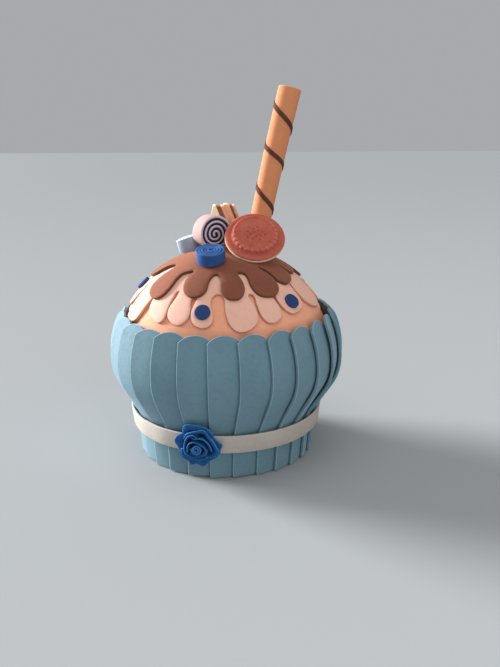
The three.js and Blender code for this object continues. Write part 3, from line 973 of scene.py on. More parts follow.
@dataclass(frozen=True)
class Drip:
    """One drip and half of the slots beside it: the (azimuth, polar) knots of its edge.

    The knots run down its left side, round its tip and up its right side to the slot's end.
    """

    knots: tuple[tuple[float, float], ...]

    @classmethod
    def plain(cls, left: float, right: float, notch: float, tip: float, lean: float) -> "Drip":
        """A drip of the common shape: a narrow neck over a bulb that is round at its tip.

        Args:
            left: azimuth of the slot on its left.
            right: azimuth of the slot on its right.
            notch: polar angle of the slots' ends.
            tip: polar angle of its tip.
            lean: how many degrees its tip lies to the right of its middle.

        Returns:
            The drip.
        """
        middle, half = (left + right) / 2, (right - left) / 2
        bulb = half * math.sin(math.radians(tip)) * 0.9
        shape = ((-0.62, notch), (-0.66, notch + 0.35 * (tip - bulb - notch)), (-0.9, tip - bulb),
                 (-0.78, tip - 0.42 * bulb), (-0.42, tip - 0.08 * bulb), (0.0, tip))
        down = [(middle + x * half + lean * smoothstep(notch, tip, y), y) for x, y in shape]
        up = [(middle - x * half + lean * smoothstep(notch, tip, y), y) for x, y in shape[-2::-1]]
        return cls((*down, *up, (right, notch - 1.0)))


@dataclass(frozen=True)
class DripLayer:
    """A round sheet on the dome whose edge is cut into drips.

    Top is the distance of its face from the dome's centre. The tip and the notch are polar angles
    of the unseen drips, the slot width and the sway are in degrees of azimuth, and the pitch is
    the distance between the sheet's inner points.
    """

    name: str
    finish: FoamFinish
    slot: str
    node: str
    top: float
    thickness: float
    front: tuple[Drip, ...]
    back_count: int
    tip: float
    notch: float
    seed: int
    rim: float = 0.4
    pitch: float = 2.5
    slot_width: float = 0.8
    sway: float = 1.6
    notch_spread: tuple[float, float] = (-1.2, 1.6)
    tip_spread: tuple[float, float] = (-2.2, 1.4)
    swell: float = 0.1
    swell_size: float = 40.0
    knot_samples: int = 7

    def all_drips(self) -> list[Drip]:
        """The front drips, then seeded ones that fill the rest of the round.

        Returns:
            All the drips, in order of azimuth.
        """
        rng = np.random.default_rng(self.seed)
        start = self.front[-1].knots[-1][0]
        end = 360 + self.front[0].knots[0][0]
        edges = np.linspace(start, end, self.back_count + 1)
        edges[1:-1] += rng.uniform(-self.sway, self.sway, self.back_count - 1)
        back = [Drip.plain(left + self.slot_width, right,
                           self.notch + rng.uniform(*self.notch_spread),
                           self.tip + rng.uniform(*self.tip_spread),
                           rng.uniform(-self.sway, self.sway))
                for left, right in zip(edges[:-1], edges[1:])]
        return [*self.front, *back]

    def flat(self, angles: Array) -> Array:
        """Directions as places on the flat sheet, as far from its middle as along the dome.

        Args:
            angles: (N, 2) azimuths and polar angles, in degrees.

        Returns:
            (N, 2) places in millimetres.
        """
        return around(np.radians(angles[:, 1]) * self.top, np.radians(angles[:, 0]), 0.0)[:, :2]

    def lay(self, places: Array, depth: float) -> Array:
        """Lays flat places on the dome, where the face is slightly uneven.

        Args:
            places: (N, 2) places on the flat sheet.
            depth: below the layer's face.

        Returns:
            (N, 3) points.
        """
        reach = np.linalg.norm(places, axis=-1)
        polar = np.degrees(reach / self.top)
        azimuth = np.degrees(np.arctan2(places[:, 0], -places[:, 1]))
        swell = self.swell * ripple(places, self.swell_size, self.seed) * (depth == 0)
        return over_dome(self.top - depth + swell, polar, azimuth)

    def build(self) -> None:
        """Runs one smooth curve through all the drips, and lays the sheet that it cuts."""
        knots = self.flat(np.concatenate([drip.knots for drip in self.all_drips()]))
        outline = closed_spline(knots, self.knot_samples)
        skin = cut_sheet(outline, self.lay, self.thickness, self.rim, self.pitch)
        skin.object(self.name, self.finish, self.slot, self.node)


CREAM_LAYER = DripLayer(
    "cream_drip_foam", CREAM, "cream_foam", "cream_drips", CREAM_TOP, 1.9,
    (
        Drip(((-93.8, 49.5), (-88, 54.5), (-82, 55), (-78.8, 51.5), (-76.6, 46), (-76.2, 41.5))),
        Drip(((-74.6, 41.5), (-74, 46), (-73.5, 51), (-72.6, 55), (-71.4, 58.2), (-68.6, 59.7),
              (-63.1, 60.2), (-59.2, 58.8), (-57.2, 55.3), (-56.3, 51.3), (-55.1, 47.8),
              (-54.2, 43.5))),
        Drip(((-52.8, 43.5), (-52.4, 47.3), (-51, 51), (-47.2, 54.2), (-42.6, 56.3), (-38.9, 56.9),
              (-36.9, 55.4), (-36.4, 52.6), (-36.8, 48.6), (-36.8, 44.5), (-36.2, 40.2))),
        Drip(((-34, 39.6), (-33.5, 42.6), (-34.2, 45.6), (-35.2, 49.7), (-33.9, 53.4),
              (-30.1, 55.9), (-26.5, 56.6), (-23.4, 55.2), (-21.4, 52.4), (-21.3, 49),
              (-22.5, 45.5), (-22.6, 42.9), (-20.8, 41.3))),
        Drip(((-18.6, 42.2), (-19, 45.8), (-19.9, 49.4), (-19.1, 52.8), (-17, 55.5), (-12.7, 57),
              (-9.2, 56.2), (-7.2, 53.7), (-7.3, 50.4), (-9, 46.4), (-9.5, 43.3), (-8.2, 41),
              (-5.6, 39.7))),
        Drip(((-2, 40.3), (-0.3, 42.7), (0.2, 46.4), (0.7, 50.8), (2, 54.6), (4.6, 57.6),
              (7.6, 58.9), (11.6, 58.5), (15.1, 56.9), (17.8, 54.5), (18.6, 52), (18.4, 48.7),
              (17.5, 45.6), (16.1, 43.3), (15.7, 41.5), (17.4, 40.4))),
        Drip(((19.6, 40.9), (20.5, 42.8), (20.2, 45.7), (20.4, 48.8), (20.8, 51.2), (21.8, 53.4),
              (23.4, 55.2), (26, 56.1), (28.6, 55.9), (31.5, 54.9), (33.4, 53.2), (34.4, 50.5),
              (33.9, 47.2), (32.9, 44.6), (33.2, 42.6))),
        Drip(((35.4, 42.8), (36, 46.5), (37.4, 50), (39.5, 52.3), (42, 53.6), (45.7, 53.6),
              (50.1, 52.7), (53.3, 51.4), (55.4, 49.4), (55.6, 47.1), (55.7, 44), (56.2, 40.5),
              (57.2, 38.6))),
        Drip(((59, 39), (58.2, 43), (58.8, 46.4), (60, 49.6), (62.7, 52.2), (67, 54.3),
              (72.6, 55.1), (78, 53.5), (81.5, 49.5), (82.5, 45), (83, 40.5))),
    ),
    10, 56.6, 41.5, 21,
)

CHOCOLATE_LAYER = DripLayer(
    "chocolate_drip_foam", CHOCOLATE, "chocolate_foam", "chocolate_drips", CHOCOLATE_TOP, 1.95,
    (
        Drip(((-98, 32), (-95, 36), (-90, 38), (-84.9, 38), (-79.6, 35.8), (-76.4, 32.2),
              (-73.4, 28.9), (-69.8, 26.9), (-65.5, 25.9))),
        Drip(((-61.2, 26.3), (-60.5, 30.4), (-62.2, 33.3), (-62.9, 36.8), (-62.5, 40.6),
              (-59.7, 43.8), (-55, 46), (-48.6, 46.5), (-44.6, 44.2), (-43, 41.3), (-42.4, 37.7),
              (-42.9, 33.6), (-41.4, 30.3), (-36.6, 28.4), (-32.4, 27.5))),
        Drip(((-30.2, 28.3), (-32, 30.7), (-32.5, 32.4), (-32.1, 35.5), (-30.5, 38.7),
              (-27.9, 41.2), (-24.3, 42.6), (-19.7, 42.8), (-16, 41.5), (-13.4, 38.5),
              (-13.2, 34.4), (-12.4, 31.9), (-10.5, 29.6), (-7.1, 28.8))),
        Drip(((-4.1, 30.2), (-2.6, 33), (-2.6, 37.2), (-1.8, 40), (0.8, 42.4), (4.3, 43.7),
              (8.7, 43.5), (11.7, 41.7), (13.7, 38.8), (14, 35.3), (12.8, 32.1), (11.4, 30.1),
              (12, 28.3))),
        Drip(((15.3, 28), (19, 29.1), (20.2, 31.9), (19.9, 35), (20.3, 38), (21.8, 40.7),
              (24.8, 42.8), (29.7, 43.8), (34.6, 43.6), (38.4, 41.9), (41.2, 39.5), (42.3, 35.9),
              (41.3, 32.5), (38.4, 28.8), (36.4, 26.4))),
        Drip(((38.2, 25.8), (43.3, 29.2), (44.8, 32.2), (45.3, 35.4), (47.6, 37.6), (51.2, 39),
              (57.6, 38.6), (63.5, 36.8), (66.2, 34.6), (66.8, 31.8), (67.5, 29.4))),
        Drip(((69.6, 29.6), (70.2, 32.4), (72.4, 34.6), (77, 35.7), (83, 35.6), (88.5, 33.8),
              (92, 31), (93, 28.5))),
    ),
    7, 42.8, 29.6, 33,
)


@dataclass(frozen=True)
class Dots:
    """Flat round dots glued on the cream drips, with their places as (azimuth, polar)."""

    places: tuple[tuple[float, float], ...] = (
        (-89, 44.0), (-13.1, 50.0), (45.4, 48.1), (115.5, 50.5), (163, 49), (219, 50))
    radius: float = 4.95
    thickness: float = 1.9
    rim: float = 0.4
    clearance: float = 0.1
    unevenness: float = 0.12
    segments: int = 56

    def disc(self) -> Skin:
        """A rounded disc, turned from its face's middle over its edge to its back's middle.

        Returns:
            The disc, lying flat on the origin.
        """
        reach = self.radius - self.rim
        face = np.stack([np.linspace(0, reach, 12), np.full(12, self.thickness)], axis=-1)
        rounding = self.rim * spokes(np.radians([60, 30, 0]))[:, :2]
        edge = [reach, self.thickness - self.rim] + rounding
        back = np.stack([np.linspace(self.radius, 0, 6), np.zeros(6)], axis=-1)
        marks = np.r_[np.zeros(11), 0.5, np.ones(3), np.zeros(5)]
        return turned(np.concatenate([face, edge, back]), self.segments, marks)

    def build(self) -> None:
        """Lays a disc for each dot, a little uneven and bent with the dome."""
        for number, (azimuth, polar) in enumerate(self.places, 1):
            skin = self.disc()
            own = skin.points[0]
            sag = (own[:, 0] ** 2 + own[:, 1] ** 2) / (2 * CREAM_TOP)
            rise = self.unevenness * ripple(own, 9.0, number) - sag + self.clearance
            seat = Seat.on_dome(CREAM_TOP, (polar, azimuth), (polar, azimuth))
            skin.points[0] = seat.put(own + rise[:, None] * UP)
            skin.object(f"dot_foam_{number}", NAVY, "navy_foam", f"dot_{number}")


# ---------------------------------------------------------------- toppings


@dataclass(frozen=True)
class WoundStrip:
    """A strip of foam wound up on itself: radius = start + growth * turn, in its own frame.

    The strip stands along the roll's axis and runs clockwise. Where it is first wound it starts
    at a small radius, and each turn lies on the one before. Its radius wobbles, and its edges
    wave, by a little; the sizes of both are in turns. A thin strip's rim is a share of it.
    """

    start: float
    growth: float
    first_turn: float
    last_turn: float
    thickness: float
    height: float
    start_angle: float
    edge_wave: float
    seed: int
    steps_per_turn: int = 48
    wobble: float = 0.05
    wobble_size: float = 0.9
    wave_size: float = 0.6
    rim: float = 0.45
    thin_rim: float = 0.35
    edge_depth: float = 0.5

    def skin(self, seat: Seat, sag: float = 1.0, sunk: float = 0.0) -> Skin:
        """Carries the strip's section along the spiral, with uneven upper and lower edges.

        Args:
            seat: where the roll's foot is, and its direction.
            sag: how far the lower half is pressed flat, 1 for not at all.
            sunk: how far the roll is moved back along its own axis.

        Returns:
            The strip's closed surface.
        """
        turns = np.arange(self.first_turn, self.last_turn, 1 / self.steps_per_turn)
        out = spokes(np.radians(self.start_angle) - 2 * np.pi * turns)
        radius = self.start + self.growth * turns
        radius = radius + self.wobble * ripple(turns[:, None], self.wobble_size, self.seed)
        rim = min(self.rim, self.thickness * self.thin_rim)
        tall = rounded_rectangle(self.thickness, self.height, rim, 3)
        stretch = self.edge_wave * ripple(turns[:, None], self.wave_size, self.seed + 1)
        section = np.repeat(tall[None], len(turns), axis=0)
        section[..., 1] += np.sign(tall[:, 1]) * stretch[:, None] + self.height / 2
        # The strip's upper and lower edges take the edge colour; on the sky and blue rolls this
        # paints their tops lighter than their walls.
        from_middle = np.abs((tall[:, 1] + np.roll(tall[:, 1], -1)) / 2)
        marks = (from_middle > self.height / 2 - self.edge_depth).astype(float)
        skin = swept(out * radius[:, None], out, np.broadcast_to(UP, out.shape), section, marks)
        for k, points in enumerate(skin.points):
            squeezed = points * np.where(points[:, 1:2] < 0, [1.0, sag, 1.0], 1.0)
            skin.points[k] = seat.put(squeezed - sunk * UP)
        return skin


@dataclass(frozen=True)
class ShortRoll:
    """A short roll of foam that stands on the dome."""

    node: str
    finish: FoamFinish
    slot: str
    foot: tuple[float, float]
    lean: tuple[float, float]
    distance: float
    radius: float
    height: float
    thickness: float
    twist: float
    gap: float = 0.07
    hole: float = 0.3
    edge_wave: float = 0.22

    def build(self) -> None:
        """Winds one strip until the roll has its radius."""
        growth = self.thickness + self.gap
        turns = (self.radius - self.thickness / 2 - self.hole) / growth
        strip = WoundStrip(self.hole + self.thickness * 0.1, growth, 0.25, turns, self.thickness,
                           self.height, self.twist, self.edge_wave, len(self.node))
        skin = strip.skin(Seat.on_dome(self.distance, self.foot, self.lean))
        skin.object(self.node + "_foam", self.finish, self.slot, self.node)


@dataclass(frozen=True)
class SwirlRoll:
    """The roll on its edge, wound from a white strip outside and a navy strip inside."""

    seat: Seat = Seat((-5.7, 0.0, 152.2), 90.0, 33.5)
    length: float = 11.0
    growth: float = 3.25
    start: float = 0.75
    turns: float = 3.67
    sag: float = 0.86
    twist: float = -108.0
    gap: float = 0.05
    edge_wave: float = 0.08

    def build(self) -> None:
        """Winds both strips on one spiral, half a turn's growth apart, with the fronts flush."""
        half = self.growth / 2
        for shift, first, seed, finish, slot, node in (
            (0.0, 0.02, 3, WHITE, "white_foam", "swirl_white"),
            (half, 0.5, 19, DARK_NAVY, "navy_foam", "swirl_navy"),
        ):
            strip = WoundStrip(self.start - shift, self.growth, first, self.turns, half - self.gap,
                               self.length, self.twist, self.edge_wave, seed)
            skin = strip.skin(self.seat, self.sag, self.length)
            skin.object(node + "_foam", finish, slot, node)


@dataclass(frozen=True)
class WaferRoll:
    """The long rolled wafer and the dark stripe wound round it."""

    foot: tuple[float, float] = (16.4, 116.1)
    lean: tuple[float, float] = (14.0, 113.3)
    distance: float = 82.8
    height: float = 110.0
    foot_radius: float = 7.8
    top_radius: float = 8.8
    sheet: float = 1.5
    growth: float = 1.54
    hole: float = 1.0
    rim: float = 0.4
    rows: int = 24
    end_rows: tuple[float, ...] = (0.0, 0.12, 0.4)
    end_margin: float = 1.5
    edge_depth: float = 0.5
    steps_per_turn: int = 64
    bow: float = 0.7
    seam: float = -13.3
    seam_from: float = 0.94
    stripe_width: float = 2.9
    stripe_pitch: float = 28.2
    stripe_below: float = 13.6
    stripe_thickness: float = 0.7
    stripe_rim: float = 0.3
    stripe_lift: float = 0.2
    stripe_from: float = 0.16
    stripe_margin: float = 1.3
    stripe_steps_per_turn: int = 60
    stripe_drift: tuple[float, ...] = (0.0, 1.6, 0.4, 2.4, 4.2, 2.6, 1.4, 0.5, 0.0, 0.0)

    def place(self, skin: Skin) -> Skin:
        """Widens the roll towards its top, bows its middle to the left and sets it on the dome.

        The width grows evenly with the height, and the bow is 4 * bow * share * (1 - share).

        Args:
            skin: a surface in the roll's own frame, at its foot's radius.

        Returns:
            The same surface, in place.
        """
        seat = Seat.on_dome(self.distance, self.foot, self.lean)
        left = seat.axes() @ np.array([-1.0, 0.0, 0.0]) * [1, 1, 0]
        for k, points in enumerate(skin.points):
            share = np.clip(points[:, 2:] / self.height, 0, 1)
            wide = 1 + (self.top_radius / self.foot_radius - 1) * share
            moved = points * np.concatenate([wide, wide, np.ones_like(wide)], axis=-1)
            skin.points[k] = seat.put(moved + 4 * self.bow * share * (1 - share) * left)
        return skin

    def build(self) -> None:
        """Builds the rolled sheet and its stripe."""
        roll, stripe = self.place(self.roll()), self.place(self.stripe())
        roll.object("wafer_roll_foam", ROLL_TAN, "roll_foam", "wafer_roll")
        stripe.object("wafer_stripe_foam", STRIPE_BROWN, "stripe_foam", "wafer_roll_stripe")

    def roll(self) -> Skin:
        """The sheet, wound on a spiral whose radius is hole + growth * turn.

        Its section has rows along its height, so that it can bow, and rounded edges: near an end
        it draws in by rim - sqrt(rim^2 - (rim - distance from the end)^2).

        Returns:
            The roll's closed surface.
        """
        last = (self.foot_radius - self.sheet / 2 - self.hole) / self.growth
        turns = np.linspace(0.0, last, int(self.steps_per_turn * last))
        out = spokes(np.radians(self.seam - 360 * last) + 2 * np.pi * turns)
        radius = self.hole + self.growth * turns
        end = np.array(self.end_rows)
        middle = np.linspace(self.end_margin, self.height - self.end_margin, self.rows)
        rise = np.concatenate([end, middle, self.height - end[::-1]])
        short = (self.rim - np.minimum(rise, self.height - rise)).clip(0)
        half = self.sheet / 2 - (self.rim - np.sqrt(np.clip(self.rim**2 - short**2, 0, None)))
        section = np.concatenate([np.stack([half, rise], -1), np.stack([-half, rise], -1)[::-1]])
        ends = np.minimum(section[:, 1], self.height - section[:, 1]) < self.edge_depth
        marks = (ends & np.roll(ends, -1)).astype(float)
        return swept(out * radius[:, None], out, np.broadcast_to(UP, out.shape), section, marks)

    def stripe(self) -> Skin:
        """A flat strip on a left-handed helix round the roll, from near its top to its foot.

        It isn't wound evenly: at each half turn it lies higher than the helix by the drift. It
        follows the wound sheet's radius, which shrinks by one sheet in the turn before the seam.

        Returns:
            The stripe's closed surface.
        """
        start = self.height - self.stripe_below + self.stripe_pitch / 2
        last = (start - 1.0) / self.stripe_pitch
        turns = np.arange(self.stripe_from, last, 1 / self.stripe_steps_per_turn)
        half, share = np.divmod(turns * 2, 1.0)
        number = np.arange(len(self.stripe_drift))
        drift = np.interp(half + smoothstep(0.0, 1.0, share), number, self.stripe_drift)
        height = np.clip(start - self.stripe_pitch * turns + drift,
                         self.stripe_margin, self.height - self.stripe_margin)
        angle = math.pi / 2 - math.radians(self.lean[1]) + 2 * np.pi * turns
        out = around(1.0, angle, 0.0)
        back = ((math.radians(self.seam + 90.0) - angle) / (2 * np.pi)) % 1.0
        inward = self.growth * (back - smoothstep(self.seam_from, 1.0, back))
        radius = self.foot_radius + self.stripe_lift - inward
        path = out * radius[:, None] + height[:, None] * UP
        side = unit(np.cross(out, unit(np.gradient(path, axis=0))))
        section = rounded_rectangle(self.stripe_thickness, self.stripe_width, self.stripe_rim, 3)
        return swept(path, out, side, section, 0.0)


@dataclass(frozen=True)
class Biscuit:
    """The round biscuit: a beige disc, and a terracotta top with a raised, beaded middle.

    The step up to the middle lies at the plateau's radius plus the two numbers of the step, and a
    groove runs round it. The ledge falls off, and the edge is rounded, from a distance inside the
    radius. The crumbs are waves on the top, each as (height, size, seed).
    """

    seat: Seat = Seat((20.7, -12.2, 152.8), 42.0, 4.0)
    radius: float = 20.3
    base: float = 1.7
    rim: float = 1.3
    plateau: float = 15.2
    step: tuple[float, float] = (-0.6, 1.3)
    step_height: float = 2.25
    beads: int = 25
    bead: float = 1.75
    bead_ring: float = 14.1
    bead_rise: float = 0.45
    bead_bulge: float = 0.35
    # Share of the lighter edge colour on the bead tops, a painted highlight.
    bead_highlight: float = 0.3
    ridge_azimuth: float = 212.0
    ridge_span: tuple[float, float] = (0.3, 0.8)
    ridge_height: float = 0.9
    ridge_width: float = 0.8
    ridge_cover: float = 0.8
    groove_offset: float = 1.6
    groove_depth: float = 0.25
    groove_width: float = 0.9
    crown: float = 0.3
    ledge: float = 0.2
    fall_from: float = 2.4
    fall_width: float = 2.1
    round_from: float = 1.4
    round_width: float = 1.1
    edge: float = 0.3
    crumbs: tuple[tuple[float, float, int], ...] = ((0.08, 5.0, 7), (0.05, 2.2, 9))
    steps_round: int = 560
    disc_segments: int = 120
    holes: int = 14
    hole_spacing: float = 1.75
    hole_radius: float = 0.62
    hole_depth: float = 0.8
    bosses: int = 18
    boss_ring: float = 10.3
    boss_radius: float = 1.05
    boss_height: float = 0.3

    def build(self) -> None:
        """Builds both discs."""
        self.disc().object("biscuit_base_foam", BEIGE, "beige_foam", "biscuit_base")
        self.top().object("biscuit_top_foam", TERRACOTTA, "biscuit_foam", "biscuit_top")

    def disc(self) -> Skin:
        """The beige disc under the top: a rounded rim, slightly uneven in radius.

        Returns:
            The disc, in place.
        """
        low, high = -self.rim - 0.05 - self.base, -self.rim - 0.02
        half = (high - low) / 2
        rim = spokes(np.radians(np.linspace(-90, 90, 9)))[:, :2] * [0.7 * half, half]
        edge = [self.radius - half * 0.7, low + half] + rim
        profile = np.concatenate([[[0.0, low]], edge, [[0.0, high]]])
        skin = turned(profile, self.disc_segments)
        own = skin.points[0]
        wave = 1 + 0.006 * ripple(own[:, :2], 30.0, 5)
        skin.points[0] = self.seat.put(own * np.stack([wave, wave, np.ones_like(wave)], -1))
        return skin

    def top(self) -> Skin:
        """The terracotta top, as height over (radius, azimuth).

        From the rim it rises in a soft round to a broad ledge, steps up at the plateau with a
        row of beads on its shoulder, each a part of a ball, and is nearly flat inside, with low
        bosses and pin-holes. At its upper left the beads merge into one smooth ridge.

        Returns:
            The top, in place.
        """
        inner, groove = self.radius - self.round_from, self.plateau + self.groove_offset
        rounding = inner + self.round_width * np.sin(np.radians(np.arange(15, 91, 15)))
        radius = np.concatenate([np.linspace(0, 11.4, 44), np.linspace(11.6, groove, 30),
                                 np.linspace(self.plateau + 2.0, inner, 8), rounding])
        azimuth = np.linspace(0, 2 * np.pi, self.steps_round + 1)[:, None]
        spread = np.broadcast_to(radius, (self.steps_round + 1, len(radius)))
        turn = np.broadcast_to(azimuth, spread.shape)
        flat = around(spread, turn, 0.0)[..., :2]
        aside = ((turn * self.beads / (2 * np.pi) + 0.5) % 1.0 - 0.5) * 2 * np.pi / self.beads
        to_bead = (spread * np.cos(aside) - self.bead_ring) ** 2 + (spread * np.sin(aside)) ** 2
        bead = np.sqrt(np.clip(1 - to_bead / self.bead**2, 0, 1))
        ridge = smoothstep(*self.ridge_span, np.cos(turn - math.radians(self.ridge_azimuth)))
        outer = np.clip((spread - (self.radius - self.fall_from)) / self.fall_width, 0, 1)
        ledge = self.ledge - (self.rim - self.ledge) * (1 - np.sqrt(1 - outer**2))
        start, end = (self.plateau + offset for offset in self.step)
        step = 1 - smoothstep(start, end, spread - self.bead_bulge * bead * (1 - ridge))
        crown = self.crown * (1 - (spread / self.plateau).clip(0, 1) ** 2)
        beads = self.bead * self.bead_rise * bead * (1 - self.ridge_cover * ridge)
        height = ledge + step * self.step_height + beads + crown
        height = height + self.ridge_height * ridge * bell(spread - self.bead_ring,
                                                           self.ridge_width)
        height = height - self.groove_depth * bell(spread - groove, self.groove_width)
        uneven = sum(rise * ripple(flat, size, seed) for rise, size, seed in self.crumbs)
        height = height + self.relief(flat) + uneven * smoothstep(0, 2, self.radius - spread)
        face = np.concatenate([flat, height[..., None]], axis=-1)
        skin = Skin()
        # The bead tops take the lighter edge colour as a painted highlight, except under the smooth
        # ridge.
        skin.grid(face, self.bead_highlight * (bead * (1 - ridge))[1:, 1:])
        outermost = self.radius - self.edge
        below = around(outermost - np.array([0.0, 0.25, 8.0, outermost]), azimuth,
                       np.array([0.25, 0.03, 0.03, 0.03]) - self.rim)
        skin.grid(np.concatenate([face[:, -1:], below], axis=1))
        skin.points = [self.seat.put(points) for points in skin.points]
        return skin

    def relief(self, flat: Array) -> Array:
        """A generic pattern: pin-holes on a sunflower spiral near the middle, and low bosses.

        The n-th hole lies at n times the golden angle and at a radius that grows with the square
        root of n. Bosses stand in a ring beyond them.

        Args:
            flat: (..., 2) places on the biscuit.

        Returns:
            Height to add at each place.
        """
        golden_angle = 2.39996
        number = np.arange(1, self.holes + 1)
        holes = self.hole_spacing * np.sqrt(number)[:, None] * spokes(number * golden_angle)[:, :2]
        turn = np.arange(self.bosses) * (2 * np.pi / self.bosses)
        bosses = self.boss_ring * spokes(turn)[:, :2]
        to_hole = np.linalg.norm(flat[..., None, :] - holes, axis=-1)
        to_boss = np.linalg.norm(flat[..., None, :] - bosses, axis=-1)
        pits = bell(to_hole, self.hole_radius, 4).sum(axis=-1)
        bumps = bell(to_boss, self.boss_radius).sum(axis=-1)
        return -self.hole_depth * pits + self.boss_height * bumps


@dataclass(frozen=True)
class WaferStack:
    """The wafer behind the upright roll: leaning layers of foam, their feet cut to the dome."""

    front: float = 20.5
    depth: float = 12.0
    top: float = 169.4
    lean: float = 22.0
    side_lean: float = -16.0
    side_width: float = 1.9
    left: float = -5.6
    distance: float = 82.75
    rim: float = 0.3
    gap: float = 0.06
    pitch: float = 2.0
    reach: float = 40.0
    reach_steps: int = 201
    swell: float = 0.15
    swell_size: float = 12.0
    layers: tuple[tuple[str, float, float, FoamFinish, str], ...] = (
        ("wafer_brown_left", 3.2, -0.5, WAFER_BROWN, "wafer_brown_foam"),
        ("wafer_pink", 2.3, -0.1, WAFER_PINK, "wafer_pink_foam"),
        ("wafer_tan_middle", 4.1, 0.8, WAFER_TAN, "wafer_tan_foam"),
        ("wafer_brown_right", 1.9, -0.2, WAFER_BROWN, "wafer_brown_foam"),
        ("wafer_tan_right", 2.0, 0.1, WAFER_PALE, "wafer_tan_foam"),
    )

    def floor(self, x: Array, y: float) -> Array:
        """The lowest height at a place: the ball's, at this distance, plus the rounded edge."""
        return np.sqrt(self.distance**2 - x**2 - y**2) + DOME_CENTRE + self.rim

    def layer(self, sides: tuple[float, float], leans: tuple[float, float], top: float,
              seed: int) -> Skin:
        """One layer: an outline in the plane of the stack's front, with a depth along Y.

        The outline runs down one side, along the dome's curve and up the other.

        Args:
            sides: X of the left and right side at the top.
            leans: how many degrees each side leans.
            top: height of the top.
            seed: picks the unevenness.

        Returns:
            The layer's closed surface.
        """
        slopes = np.tan(np.radians(leans))
        fall = np.linspace(self.rim, self.reach, self.reach_steps)
        edges = []
        for x, slope, inward in zip(sides, slopes, (self.rim, -self.rim)):
            side = np.stack([x + slope * fall + inward, top - fall], axis=-1)
            side = side[side[:, 1] > self.floor(side[:, 0], self.front)]
            edges.append(side[np.r_[0 : len(side) - 1 : 4, len(side) - 1]])
        foot = np.linspace(edges[0][-1, 0], edges[1][-1, 0], 12)[1:-1]
        foot = np.stack([foot, self.floor(foot, self.front)], axis=-1)
        crest = np.linspace(edges[1][0], edges[0][0], 5)[1:-1]
        outline = np.concatenate([edges[0], foot, edges[1][::-1], crest])

        def lay(places: Array, depth: float) -> Array:
            """Lays places of the front plane at a depth behind it.

            A place keeps its share of the way from the highest layer's top down to the dome.

            Args:
                places: (N, 2) places in the front plane.
                depth: behind it.

            Returns:
                (N, 3) points.
            """
            highest = self.top + 1.0
            y = self.front + depth
            share = (highest - places[:, 1]) / (highest - self.floor(places[:, 0], self.front))
            height = highest - share * (highest - self.floor(places[:, 0], y))
            shift = self.swell * ripple(places, self.swell_size, seed) * (depth == 0)
            return np.stack([places[:, 0], y + shift, height], axis=-1)

        return cut_sheet(outline, lay, self.depth, self.rim, self.pitch)

    def build(self) -> None:
        """Builds the pale side piece and the layers, left to right."""
        sides = (self.left - self.side_width, self.left - self.gap)
        skin = self.layer(sides, (self.side_lean, self.lean), self.top, 50)
        skin.object("wafer_side_foam", WAFER_CREAM, "wafer_cream_foam", "wafer_side")
        left = self.left
        for number, (node, width, rise, finish, slot) in enumerate(self.layers):
            shift = rise * math.tan(math.radians(self.lean))
            sides = (left + self.gap - shift, left + width - self.gap - shift)
            skin = self.layer(sides, (self.lean, self.lean), self.top + rise, 51 + number)
            skin.object(node + "_foam", finish, slot, node)
            left += width


@dataclass(frozen=True)
class Petal:
    """One petal: its root's place as a share of its lip's, and the lip's (x, y, height) knots."""

    root: float
    lip: tuple[tuple[float, float, float], ...]


